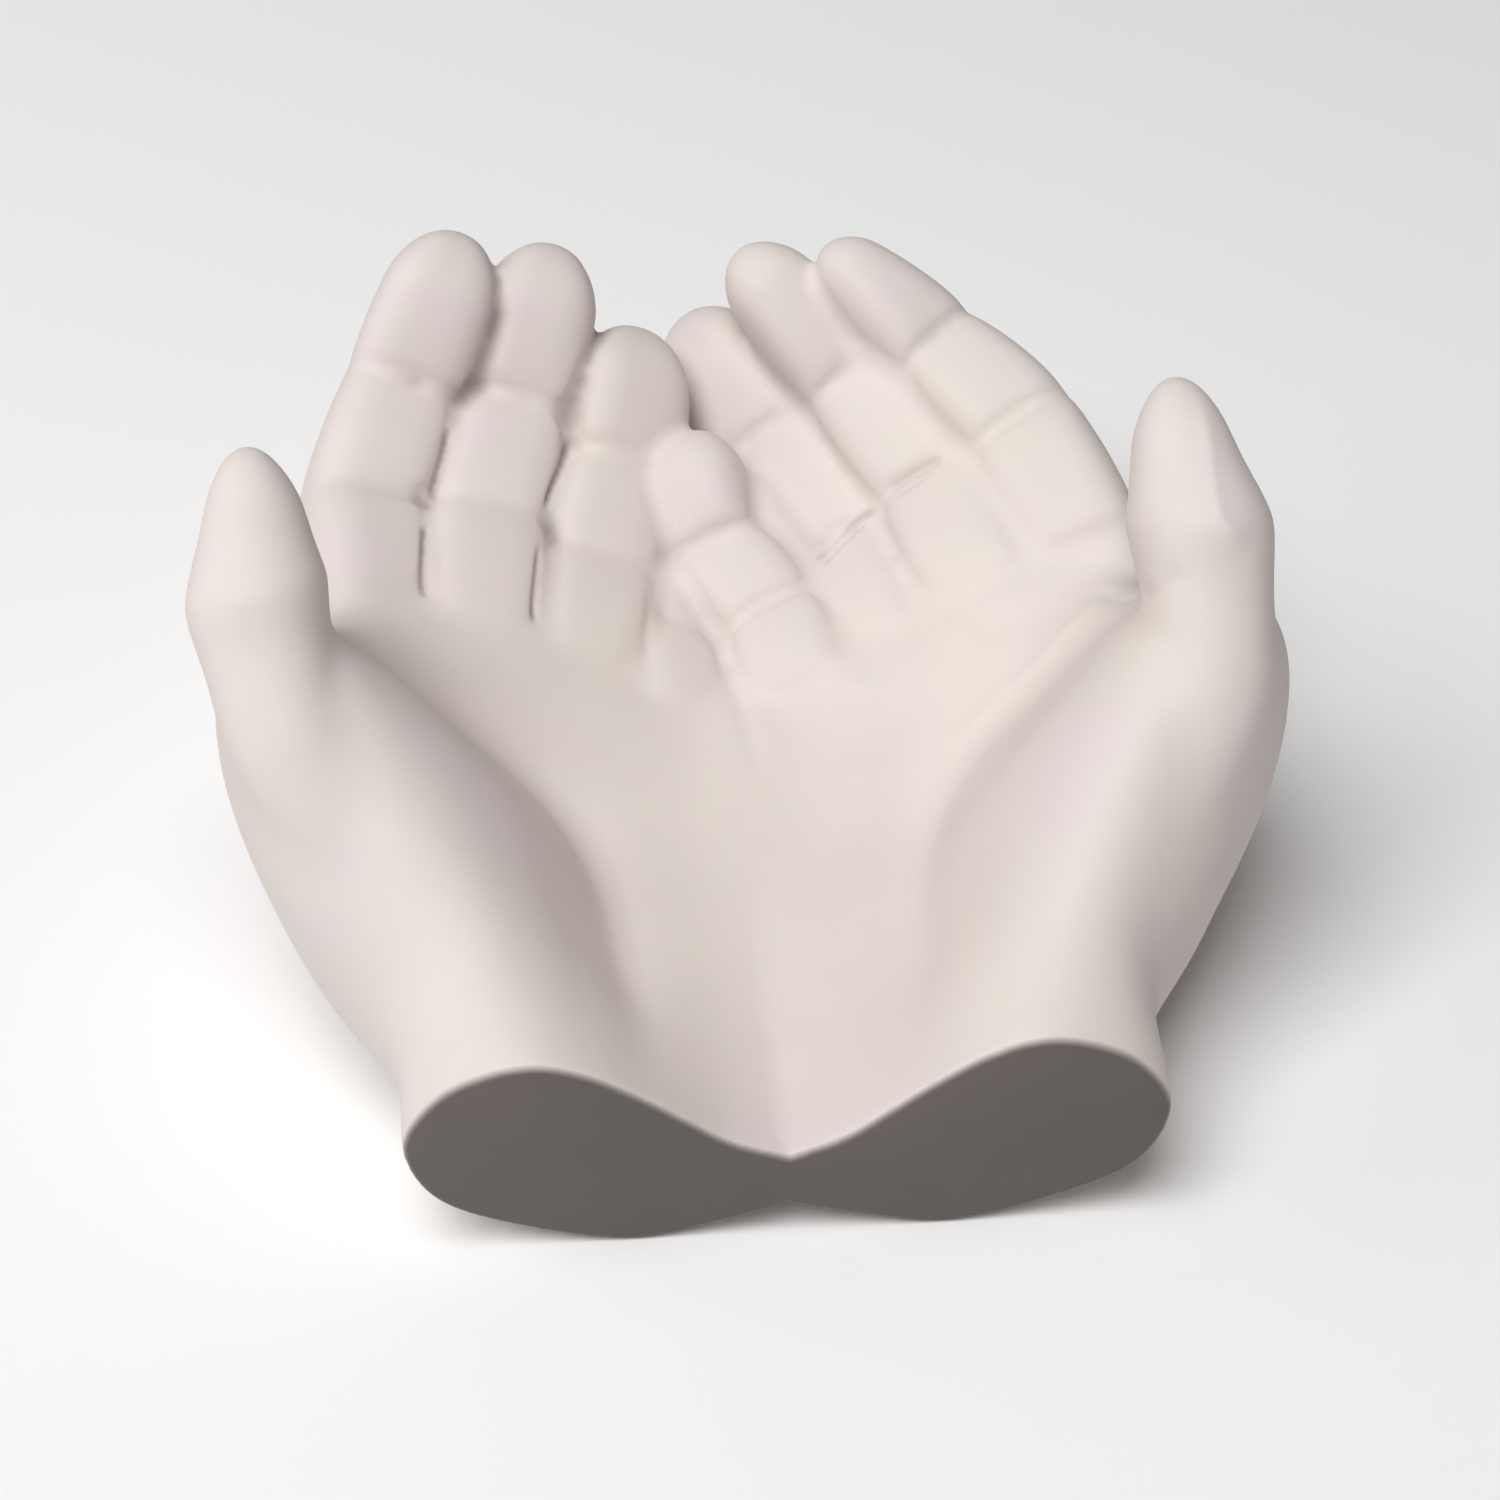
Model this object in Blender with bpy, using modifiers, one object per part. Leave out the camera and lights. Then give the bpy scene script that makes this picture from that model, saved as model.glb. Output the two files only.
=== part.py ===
"""Hand-shaped bowl: two open hands side by side, palms up, cast as one piece with flat cut wrists.

It is drawn with the seam between the hands on the plane X = 0, the flat cut of the wrists on Y = 0 and
the fingers towards +Y, then centred over the origin so that it stands on Z = 0.
Each hand is a palm, a thumb and four fingers, drawn as lofts and fused into one skin.
"""

import math

import bmesh
import bpy
import numpy as np

MM = 0.001

# Driving dimensions of the palms
PALM_LENGTH = 0.111  # flat of the wrist to the first crease of the fingers
PALM_BREADTH = 0.0845  # seam to the outside of the ball of the thumb
PALM_HEIGHT = 0.0696  # underside of the hand to the top of the ball of the thumb
WRIST_ROUNDING = 0.0019  # radius round the flat of the wrist
KNUCKLE_ROUNDING = 0.007  # how far the palm runs on into the feet of the fingers
RIGHT_WRIST_TRIM = 0.0026  # the right wrist is this much slimmer on its outer side
STAND_DEPTH = 0.0006  # how much is sanded off the underside, so that it stands on two flats

# Driving dimensions of the fingers: half widths at the three creases and near the tip
HALF_WIDTHS = {
    ("left", "index"): (0.0112, 0.0108, 0.0096, 0.0086),
    ("left", "middle"): (0.0110, 0.0114, 0.0107, 0.0085),
    ("left", "ring"): (0.0108, 0.0113, 0.0108, 0.0090),
    ("left", "little"): (0.0094, 0.0090, 0.0082, 0.0073),
    ("right", "index"): (0.0106, 0.0103, 0.0092, 0.0070),
    ("right", "middle"): (0.0106, 0.0108, 0.0102, 0.0084),
    ("right", "ring"): (0.0106, 0.0109, 0.0109, 0.0094),
    ("right", "little"): (0.0094, 0.0090, 0.0083, 0.0075),
}
FINGER_FLATNESS = 0.84  # half thickness of a finger over its half width
FINGER_SQUARENESS = 3.0  # exponent of the section: 2 is an ellipse, more is squarer
PAD_RISES = (0.0017, 0.0015, 0.0022)  # how far the pads stand up between the creases
SIDE_RISE = 0.4  # how far they swell to the sides, over those rises
TIP_REACH = 1.35  # length of a rounded fingertip over its half width
ROOT_REACH = 0.75  # how far a finger runs back into the palm, over its first bone
ROOT_SINK = 0.006  # how much deeper that buried end lies
KNUCKLE_BEND = 0.006  # how far a bend spreads to each side of a joint

# Driving dimensions of the thumbs: half widths from the buried root to the tip
THUMB_HALF_WIDTHS = (0.0050, 0.0100, 0.0126, 0.0118, 0.0060)
THUMB_FLATNESS = 0.83
THUMB_SQUARENESS = 2.35
THUMB_PAD_RISE = 0.0016
THUMB_TIP_REACH = 0.011
THUMB_ROOT_ROUNDING = 0.008
THUMB_BEND = 0.009
THUMB_JOINT_RISE = 0.0016  # how far the last joint swells out
THUMB_JOINT_SPREAD = 0.007  # and over what length to each side

# The skin between two fingers
WEB_HALF_WIDTH = 0.006
WEB_HALF_THICKNESS = 0.0036
WEB_DEPTH = {"right": -0.0045, "left": -0.0012}  # how far it lies below the middles of the fingers
WEB_TIP_ROUNDING = 0.005
WEB_REACH = 0.6  # how far it climbs the last bones
WEB_TIP_SINK = 0.0045  # how much deeper it ends
LITTLE_WEB_REACH = 0.1

# The fused skin
SKIN_CELL = 0.0015
MOST_TRIANGLES = 11600
CUT_MARGIN = 0.02
SEAM_OVERLAP = 0.003  # each palm reaches this far over the seam
WRIST_CUT = 0.0003  # how much the flat cut takes off the wrists
SMOOTH_ANGLE = math.radians(50)  # edges sharper than this stay crisp

# Where the skin is smoothed and how much: each pair is where an effect starts and where it is full, in metres
PALM_PASSES = 12
THUMB_ROOT_PASSES = 30
FINGER_PASSES = 15
KEPT_CRISP = 0.8  # how much of the smoothing the thumb tips and the seam are spared
FINGER_SHARE = 0.1  # how much of it the fingers get
RIM_BAND = (0.001, 0.006)
CUT_BAND = (0.0005, 0.003)
TIPS_BAND = (0.066, 0.076)
SEAM_BAND = (0.002, 0.007)
SEAM_LENGTH = (0.02, 0.06)
THUMB_ROOT_START = (0.034, 0.044)
THUMB_ROOT_STOP = (0.062, 0.074)
THUMB_ROOT_OUT = (0.040, 0.052)
THUMB_ROOT_FORWARD = (0.012, 0.024)
FEET_START = (0.092, 0.100)
FEET_STOP = (0.110, 0.120)

DRAWN_LENGTH = 111  # millimetres from the wrist cut to the first creases, as the tables below are drawn

# Half outlines of a hand across the wrist and the palm, in millimetres: a station as a share of the palm's
# length, then points (out from the seam, up) over the palm from the seam and back under the knuckles
PALM_OUTLINES = (
    (0.00, ((12.6, ), (8.3, 18), (15, 23), (22, 28.4), (30, 33.5), (38, 36), (46, 34.6), (53.5, 30),
            (58.6, 21), (55, 10.5), (45, 4), (26, -1.4), (12, 0.8), (6, ))),
    (0.16, ((12.0, ), (8, 17), (15, 21), (21.5, 25), (28.5, 32.5), (37, 39.5), (46, 42), (55, 38.5),
            (60, 27), (57, 12), (46, 3.2), (28, -1.6), (12, 0.6), (6, ))),
    (0.32, ((12.4, ), (8.5, 16.8), (17, 20), (23.5, 22), (30, 31.5), (38.5, 43.5), (50, 53), (62, 54),
            (72.5, 42), (70, 20), (53, 3.8), (31, -1.6), (13, 0.6), (6, ))),
    (0.49, ((14.5, ), (9, 17.8), (18, 20), (25.5, 21.5), (32, 32.5), (41.5, 47), (54, 60.5), (67, 68),
            (82.5, 58), (79, 28), (59.5, 7), (34, -1.6), (14, 0.6), (6.5, ))),
    (0.63, ((17.0, ), (9, 18.6), (20, 20.8), (29.5, 22), (37, 31.5), (47, 44.5), (58.5, 58.5), (71, 68),
            (84.5, 59), (82, 30), (62.5, 10), (37, -1.0), (15, 0.8), (7.5, ))),
    (0.79, ((19.2, ), (10, 20.8), (23, 24.3), (38, 28.8), (47, 34), (56, 43), (64, 51.5), (71, 54.5),
            (80.5, 47), (79, 30), (62, 13), (39, 4), (15, 2.5), (9, ))),
    (0.92, ((21.0, ), (9, 22.6), (20, 27), (31, 31.5), (42, 35.5), (52, 39), (60, 43), (67, 45),
            (75, 37.5), (73.5, 25.5), (58.5, 16), (39, 9), (15, 5), (10, ))),
    (1.00, ((21.0, ), (8, 22.5), (18, 26.5), (29, 32), (40, 36.5), (50, 40), (59, 42.5), (65, 43),
            (72, 37), (71.5, 28.5), (59, 20.5), (39, 13.5), (15, 8), (10, ))),
    (1.08, ((18.5, ), (8, 20), (18, 24), (29, 30), (40, 35), (50, 38.5), (59, 40), (65, 39.5),
            (70, 36), (69, 30), (57, 24), (37, 17), (15, 11.5), (10, ))),
)

# Where each finger starts on the palm (out from the seam, forward, up), in millimetres; its three bones as
# (length in millimetres, degrees in towards the seam, degrees up); and how far its pads turn to the seam
FINGER_POSES = {
    ("right", "index"): ((60, 113, 46), ((27.5, 20, 18.5), (23, 38, 13), (25.5, 51, 25)), 24),
    ("right", "middle"): ((43, 111, 40), ((28.5, 14, 9), (25.5, 31, 17), (28.5, 46, 33)), 28),
    ("right", "ring"): ((25.5, 109, 30), ((28, 11, 2), (28, 23, 17), (29, 31, 20)), 36),
    ("right", "little"): ((11, 103.5, 25.8), ((18.5, 15, 7.5), (18, 32, 15.5), (21.5, 6, 32)), 20),
    ("left", "index"): ((61.4, 114, 44.2), ((21.5, -4, 9), (23.5, 23, 25), (27, 38, 46)), 22),
    ("left", "middle"): ((44, 110, 38), ((26, 4, 11), (24, 16, 20), (28, 28, 46)), 17),
    ("left", "ring"): ((26.8, 107, 30), ((25, 7.5, 10), (22, 15, 21), (25, 13.5, 33)), 22),
    ("left", "little"): ((11, 103, 23.5), ((19, 6, 3.5), (17, 17, 8), (17.5, 19, 24)), 22),
}
# The same for the thumbs, whose first point lies inside the heel of the hand
THUMB_POSES = {
    "right": ((48, 30, 26), ((24, -47, 42), (21.5, -39, 40), (26.5, 1, 50), (25.5, 12, 47))),
    "left": ((48, 30, 26), ((24.5, -52, 44), (21.5, -42, 40), (24, -17, 46), (24, 1, 55))),
}
SIDES = {"right": 1, "left": -1}
NEIGHBOURS = (("index", "middle"), ("middle", "ring"), ("ring", "little"))

# The way the pads of the cupped fingers face on the whole: back towards the wrists and up
PAD_FACING = np.array((-0.061, -0.775, 0.629))
PAD_DEPTHS = np.array((0.80, 0.80, 0.80, 0.25))  # skin of a crease to the middle, over the half width
THUMB_PAD_FACING = (-0.8, 0.25, 0.35)  # for the right thumb: at the seam, a little up and forward

PLASTER_COLOUR = (0.74, 0.69, 0.66, 1)
PLASTER_ROUGHNESS = 0.62

largest_out = max(point[0] for _, outline in PALM_OUTLINES for point in outline if len(point) == 2)
heights = [point[1] for _, outline in PALM_OUTLINES for point in outline if len(point) == 2]
# metres per drawn millimetre out from the seam, forward and up
SCALE = np.array((PALM_BREADTH / largest_out, PALM_LENGTH / DRAWN_LENGTH, PALM_HEIGHT / (max(heights) - min(heights))))


def clear_scene():
    for obj in list(bpy.data.objects):
        bpy.data.objects.remove(obj)


def collection_named(name):
    """A new collection under the scene."""
    collection = bpy.data.collections.new(name)
    bpy.context.scene.collection.children.link(collection)
    return collection


def ramp(value, low, high):
    """0 below low, 1 above high, and a soft S between."""
    share = np.clip((value - low) / (high - low), 0, 1)
    return share * share * (3 - 2 * share)


def through(points, where, closed=False):
    """Smooth curve through points, read at the places given in where, counted in points from the first."""
    points = np.asarray(points, float)
    if closed:
        padded = np.concatenate([points[-1:], points, points[:2]])
        last = len(points) - 1
    else:
        padded = np.concatenate([2 * points[:1] - points[1:2], points, 2 * points[-1:] - points[-2:-1]])
        last = len(points) - 2
    index = np.minimum(where.astype(int), last)
    share = (where - index).reshape(-1, *([1] * (points.ndim - 1)))
    a, b, c, d = (padded[index + k] for k in range(4))
    square = 2 * a - 5 * b + 4 * c - d
    cube = -a + 3 * b - 3 * c + d
    return 0.5 * (2 * b + (c - a) * share + square * share**2 + cube * share**3)


def loft(name, rings):
    """Closed mesh object over rings of equal count, with a fan closing each end."""
    count, around, _ = rings.shape
    points = np.vstack([rings.reshape(-1, 3), rings[0].mean(0), rings[-1].mean(0)])
    here = np.arange(around)
    after = (here + 1) % around
    faces = []
    for row in range(count - 1):
        low = row * around
        high = low + around
        faces += np.stack([low + here, low + after, high + after, high + here], 1).tolist()
    last = (count - 1) * around
    faces += np.stack([np.full(around, count * around), after, here], 1).tolist()
    faces += np.stack([np.full(around, count * around + 1), last + here, last + after], 1).tolist()
    mesh = bpy.data.meshes.new(name)
    mesh.from_pydata(points, [], faces)
    shape = bmesh.new()
    shape.from_mesh(mesh)
    bmesh.ops.recalc_face_normals(shape, faces=shape.faces)
    shape.to_mesh(mesh)
    shape.free()
    obj = bpy.data.objects.new(name, mesh)
    bpy.context.scene.collection.objects.link(obj)
    return obj


def palm_outline(outline):
    """The outline's points in metres. A point with one number lies on the seam, plus the overlap."""
    points = []
    for point in outline:
        if len(point) == 1:
            points.append((-SEAM_OVERLAP, point[0] * SCALE[2]))
        else:
            points.append((point[0] * SCALE[0], point[1] * SCALE[2]))
    return points


def wrist_rim(ring):
    """Rings that round the edge of the flat cut, from the flat to one rounding further along."""
    along = np.roll(ring, -1, 0) - np.roll(ring, 1, 0)
    outward = np.stack([-along[:, 2], np.zeros(len(ring)), along[:, 0]], -1)
    outward /= np.linalg.norm(outward, axis=1)[:, None]
    if (outward * (ring - ring.mean(0))).sum() < 0:
        outward = -outward
    rims = []
    for turn in np.linspace(0, math.pi / 2, 6)[:-1]:
        rim = ring - outward * WRIST_ROUNDING * (1 - math.sin(turn))
        rim[:, 1] = WRIST_ROUNDING * (1 - math.cos(turn))
        rims.append(rim)
    return rims


def palm(hand):
    """One palm with its wrist, lofted over the outlines, rounded at the wrist cut and under the knuckles."""
    stations = np.array([share for share, _ in PALM_OUTLINES]) * PALM_LENGTH
    table = np.array([palm_outline(outline) for _, outline in PALM_OUTLINES])
    forward = np.linspace(0, stations[-1], 70)
    outlines = through(table, np.interp(forward, stations, np.arange(len(stations))))
    around = np.arange(96) * len(table[0]) / 96
    rings = []
    for outline, y in zip(outlines, forward):
        ring = np.insert(through(outline, around, closed=True), 1, y, axis=1)
        rings.append(ring)
    rims = wrist_rim(rings[0])
    middle = rings[-1].mean(0)
    ends = []
    for share in np.linspace(0.15, 0.95, 8):
        end = middle + (rings[-1] - middle) * math.sqrt(1 - share**2)
        end[:, 1] = forward[-1] + KNUCKLE_ROUNDING * share
        ends.append(end)
    body = [ring for ring, y in zip(rings, forward) if y > WRIST_ROUNDING]
    rings = np.array(rims + body + ends)
    if hand == "right":
        out = ramp(rings[..., 0], 0.48 * PALM_BREADTH, 0.75 * PALM_BREADTH)
        near = ramp(rings[..., 1], 0.04 * PALM_LENGTH, 0.22 * PALM_LENGTH)
        far = ramp(rings[..., 1], 0.31 * PALM_LENGTH, 0.52 * PALM_LENGTH)
        rings[..., 0] -= RIGHT_WRIST_TRIM * out * near * (1 - far)
    rings[..., 0] *= SIDES[hand]
    return loft(f"{hand}_palm", rings)


def joints_of(hand, root, bones):
    """The points along a finger, from its root and each bone's length, turn towards the seam and rise."""
    side = SIDES[hand]
    points = [np.array(root) * SCALE * (side, 1, 1)]
    for length, inward, rise in bones:
        turn = math.radians(inward)
        climb = math.radians(rise)
        flat = math.cos(climb)
        step = np.array((-side * math.sin(turn) * flat, math.cos(turn) * flat, math.sin(climb)))
        points.append(points[-1] + length * MM * step)
    return np.array(points)


def rounded_path(joints, bend, count):
    """Evenly spaced points along the joints, each corner turned over the length bend, with their distances."""
    points = [joints[0]]
    for before, corner, after in zip(joints[:-2], joints[1:-1], joints[2:]):
        back = np.linalg.norm(corner - before)
        on = np.linalg.norm(after - corner)
        reach = min(bend, 0.45 * back, 0.45 * on)
        start = corner + (before - corner) / back * reach
        end = corner + (after - corner) / on * reach
        for t in np.linspace(0, 1, 9):
            points.append((1 - t) ** 2 * start + 2 * t * (1 - t) * corner + t**2 * end)
    points.append(joints[-1])
    points = np.array(points)
    steps = np.linalg.norm(np.diff(points, axis=0), axis=1)
    distances = np.concatenate([[0], np.cumsum(steps)])
    even = np.linspace(0, distances[-1], count)
    path = np.stack([np.interp(even, distances, points[:, k]) for k in range(3)], -1)
    return path, even


def places_on(path, distances, joints):
    """How far along the path each joint lies."""
    return np.array([distances[np.argmin(np.linalg.norm(path - joint, axis=1))] for joint in joints])


def sweep(name, path, facing, half_widths, fronts, backs, squareness, around=40):
    """Loft of rounded sections along a path: fronts is the half thickness on the facing side, backs behind."""
    along = np.gradient(path, axis=0)
    along /= np.linalg.norm(along, axis=1)[:, None]
    up = facing - (along @ facing)[:, None] * along
    up /= np.linalg.norm(up, axis=1)[:, None]
    across = np.cross(along, up)
    angle = np.linspace(0, 2 * math.pi, around, endpoint=False)
    power = 2 / squareness
    wide = np.sign(np.cos(angle)) * np.abs(np.cos(angle)) ** power
    high = np.sign(np.sin(angle)) * np.abs(np.sin(angle)) ** power
    thick = np.where(high > 0, fronts[:, None], backs[:, None]) * high
    rings = path[:, None] + across[:, None] * (half_widths[:, None] * wide)[..., None]
    return loft(name, rings + up[:, None] * thick[..., None])


def end_rounding(distances, reach, power):
    """1 along a sweep, falling to 0 over its last reach as a round end does."""
    share = np.clip((distances - (distances[-1] - reach)) / reach, 0, 1)
    return np.sqrt(np.maximum(1 - share**power, 0.0004))


def finger_middles(hand, name):
    """The middles of a finger at its creases and tip, which lie under the skin of its pads, and the way up."""
    root, bones, _ = FINGER_POSES[hand, name]
    skin = joints_of(hand, root, bones)
    along = np.gradient(skin, axis=0)
    along /= np.linalg.norm(along, axis=1)[:, None]
    up = PAD_FACING - (along @ PAD_FACING)[:, None] * along
    up /= np.linalg.norm(up, axis=1)[:, None]
    depths = np.array(HALF_WIDTHS[hand, name]) * PAD_DEPTHS
    return skin - up * depths[:, None], up


def finger(hand, name):
    """One finger with a raised pad on each bone, creases between them, and its root buried in the palm."""
    middles, _ = finger_middles(hand, name)
    roll = math.radians(FINGER_POSES[hand, name][2])
    facing = np.array((-SIDES[hand] * math.sin(roll), 0, math.cos(roll)))
    root = middles[0] - (middles[1] - middles[0]) * ROOT_REACH - (0, 0, ROOT_SINK)
    path, distances = rounded_path(np.vstack([root, middles]), KNUCKLE_BEND, 110)
    creases = places_on(path, distances, middles)
    half_widths = np.interp(distances, creases, HALF_WIDTHS[hand, name])
    half_widths *= np.interp(distances, (0, creases[0]), (0.92, 1))
    fronts = half_widths * FINGER_FLATNESS
    backs = half_widths * FINGER_FLATNESS
    for bone in range(3):
        length = creases[bone + 1] - creases[bone]
        share = np.clip((distances - creases[bone]) / length, 0, 1)
        swell = np.sin(math.pi * share ** (0.8 if bone == 2 else 1))
        fronts = fronts + PAD_RISES[bone] * swell**0.55
        half_widths = half_widths + SIDE_RISE * PAD_RISES[bone] * swell
    rounding = end_rounding(distances, HALF_WIDTHS[hand, name][3] * TIP_REACH, 2.2)
    sizes = (size * rounding for size in (half_widths, fronts, backs))
    return sweep(f"{hand}_{name}", path, facing, *sizes, FINGER_SQUARENESS)


def web(hand, one, other):
    """Filling deep in the groove between two neighbouring fingers, up to where they part."""
    first, first_up = finger_middles(hand, one)
    second, second_up = finger_middles(hand, other)
    middles = (first + second) / 2 - (first_up + second_up) / 2 * WEB_DEPTH[hand]
    reach = LITTLE_WEB_REACH if other == "little" else WEB_REACH
    middles[-1] = middles[-2] + (middles[-1] - middles[-2]) * reach
    middles[-1] -= (first_up[-1] + second_up[-1]) / 2 * WEB_TIP_SINK
    root = middles[0] - (middles[1] - middles[0]) * 0.3
    path, distances = rounded_path(np.vstack([root, middles]), KNUCKLE_BEND, 50)
    across = (second - first) / np.linalg.norm(second - first, axis=1)[:, None]
    facing = -np.cross(across.mean(0), (0, 1, 0))
    rounding = end_rounding(distances, WEB_TIP_ROUNDING, 2)
    half_widths = WEB_HALF_WIDTH * rounding
    halves = WEB_HALF_THICKNESS * rounding
    return sweep(f"{hand}_web", path, facing, half_widths, halves, halves, 2, around=24)


def thumb(hand):
    """One thumb, from inside the heel of the hand out through the ball of the thumb to its tip."""
    root, bones = THUMB_POSES[hand]
    joints = joints_of(hand, root, bones)
    path, distances = rounded_path(joints, THUMB_BEND, 90)
    places = places_on(path, distances, joints)
    half_widths = np.interp(distances, places, THUMB_HALF_WIDTHS)
    half_widths += THUMB_JOINT_RISE * np.exp(-(((distances - places[3]) / THUMB_JOINT_SPREAD) ** 2))
    share = np.clip((distances - places[3]) / (places[4] - places[3]), 0, 1)
    pad = THUMB_PAD_RISE * np.sin(math.pi * share**0.8) ** 0.7
    start = np.clip(1 - distances / THUMB_ROOT_ROUNDING, 0, 1)
    rounding = end_rounding(distances, THUMB_TIP_REACH, 2.3) * np.sqrt(np.maximum(1 - start**2, 0.0004))
    fronts = (half_widths * THUMB_FLATNESS + pad) * rounding
    backs = half_widths * THUMB_FLATNESS * rounding
    facing = np.array(THUMB_PAD_FACING) * (SIDES[hand], 1, 1)
    return sweep(f"{hand}_thumb", path, facing, half_widths * rounding, fronts, backs, THUMB_SQUARENESS)


def bake(obj):
    """Turns the object's modifiers into its mesh."""
    graph = bpy.context.evaluated_depsgraph_get()
    mesh = bpy.data.meshes.new_from_object(obj.evaluated_get(graph))
    obj.modifiers.clear()
    obj.data = mesh


def fuse(name, pieces):
    """Joins overlapping closed pieces into one skin."""
    bpy.ops.object.select_all(action="DESELECT")
    for piece in pieces:
        piece.select_set(True)
    bpy.context.view_layer.objects.active = pieces[0]
    bpy.ops.object.join()
    obj = bpy.context.view_layer.objects.active
    obj.name = name
    remesh = obj.modifiers.new("One skin", "REMESH")
    remesh.mode = "VOXEL"
    remesh.voxel_size = SKIN_CELL
    bake(obj)
    return obj


def soften(obj, label, softness, passes):
    """Smooths the skin, each vertex by the share that softness gives for its place."""
    count = len(obj.data.vertices)
    places = np.empty(count * 3, np.float32)
    obj.data.vertices.foreach_get("co", places)
    out, forward, up = places.reshape(-1, 3).T
    shares = np.round(softness(np.abs(out), forward, up) * 20) / 20
    group = obj.vertex_groups.new(name=label)
    for share in np.unique(shares):
        group.add(np.flatnonzero(shares == share).tolist(), float(share), "REPLACE")
    smooth = obj.modifiers.new(label, "SMOOTH")
    smooth.factor = 0.5
    smooth.iterations = passes
    smooth.vertex_group = label


def palm_softness(out, forward, up):
    """Full, but little at the rim of the wrist cut, on the thumb tips and in the seam near the wrists."""
    tips = 1 - KEPT_CRISP * ramp(up, *TIPS_BAND)
    seam = 1 - KEPT_CRISP * (1 - ramp(out, *SEAM_BAND)) * (1 - ramp(forward, *SEAM_LENGTH))
    return ramp(forward, *RIM_BAND) * tips * seam


def thumb_root_softness(out, forward, up):
    """Only where each thumb grows out of its ball."""
    band = ramp(up, *THUMB_ROOT_START) * (1 - ramp(up, *THUMB_ROOT_STOP))
    return band * ramp(out, *THUMB_ROOT_OUT) * ramp(forward, *THUMB_ROOT_FORWARD)


def finger_softness(out, forward, up):
    """Light over the fingers, full at their feet, none on the wrist cut."""
    feet = ramp(forward, *FEET_START) * (1 - ramp(forward, *FEET_STOP))
    return (FINGER_SHARE + (1 - FINGER_SHARE) * feet) * ramp(forward, *CUT_BAND)


def thin_out(obj):
    """Brings the skin down to its triangle budget."""
    triangles = sum(len(face.vertices) - 2 for face in obj.data.polygons)
    decimate = obj.modifiers.new("Fewer triangles", "DECIMATE")
    decimate.ratio = MOST_TRIANGLES / triangles


def cut_flat(obj, name, low, high, cutters):
    """Cuts away the box from low to high, which leaves a true flat on the skin."""
    bpy.ops.mesh.primitive_cube_add(size=1)
    cutter = bpy.context.object
    cutter.name = name
    size = np.array(high) - np.array(low)
    cutter.location = (np.array(high) + np.array(low)) / 2
    cutter.scale = size
    cutter.hide_render = True
    cutter.display_type = "WIRE"
    for old in list(cutter.users_collection):
        old.objects.unlink(cutter)
    cutters.objects.link(cutter)
    cut = obj.modifiers.new(name, "BOOLEAN")
    cut.operation = "DIFFERENCE"
    cut.solver = "EXACT"
    cut.object = cutter


def plaster():
    """Matte off-white cast plaster."""
    material = bpy.data.materials.new("cast_plaster")
    material.use_nodes = True
    shader = material.node_tree.nodes["Principled BSDF"]
    shader.inputs["Base Color"].default_value = PLASTER_COLOUR
    shader.inputs["Roughness"].default_value = PLASTER_ROUGHNESS
    shader.inputs["Metallic"].default_value = 0
    return material


def stand_over_origin(obj):
    """Moves the mesh so that its box is centred over the origin with its lowest face on Z = 0."""
    corners = np.array([vertex.co for vertex in obj.data.vertices])
    low = corners.min(0)
    middle = (low + corners.max(0)) / 2
    shape = bmesh.new()
    shape.from_mesh(obj.data)
    bmesh.ops.translate(shape, verts=shape.verts, vec=(-middle[0], -middle[1], -low[2]))
    shape.to_mesh(obj.data)
    shape.free()


def build():
    clear_scene()
    parts = collection_named("hand_shaped_bowl")
    cutters = collection_named("cutters")
    palms = [palm(hand) for hand in SIDES]
    hands = fuse("hands", palms + [thumb(hand) for hand in SIDES])
    soften(hands, "Palm", palm_softness, PALM_PASSES)
    soften(hands, "Thumb roots", thumb_root_softness, THUMB_ROOT_PASSES)
    bake(hands)
    fingers = [finger(hand, name) for hand, name in FINGER_POSES]
    webs = [web(hand, one, other) for hand in SIDES for one, other in NEIGHBOURS]
    bowl = fuse("cupped_hands", [hands] + fingers + webs)
    soften(bowl, "Fingers", finger_softness, FINGER_PASSES)
    bake(bowl)
    thin_out(bowl)
    lowest = min(vertex.co.z for vertex in bowl.data.vertices)
    floor = (lowest - CUT_MARGIN, lowest + STAND_DEPTH)
    wide = 2 * PALM_BREADTH
    cut_flat(bowl, "stand_cut", (-wide, -CUT_MARGIN, floor[0]), (wide, 2 * PALM_LENGTH, floor[1]), cutters)
    cut_flat(bowl, "wrist_cut", (-wide, -CUT_MARGIN, -wide), (wide, WRIST_CUT, wide), cutters)
    bake(bowl)
    stand_over_origin(bowl)
    for face in bowl.data.polygons:
        face.use_smooth = True
    bowl.data.set_sharp_from_angle(angle=SMOOTH_ANGLE)
    bowl.data.materials.clear()
    bowl.data.materials.append(plaster())
    for old in list(bowl.users_collection):
        old.objects.unlink(bowl)
    parts.objects.link(bowl)


build()
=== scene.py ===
"""Hand-shaped bowl in cast plaster: two open hands side by side, palms up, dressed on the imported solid.

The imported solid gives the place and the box. The hands are drawn again over it with a finer skin. The
grooves, creases and folds of the fingers, thumbs and palms are pressed into that skin, and the whole stands
on a plain pale stage at the angle of the photograph.
"""

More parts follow.
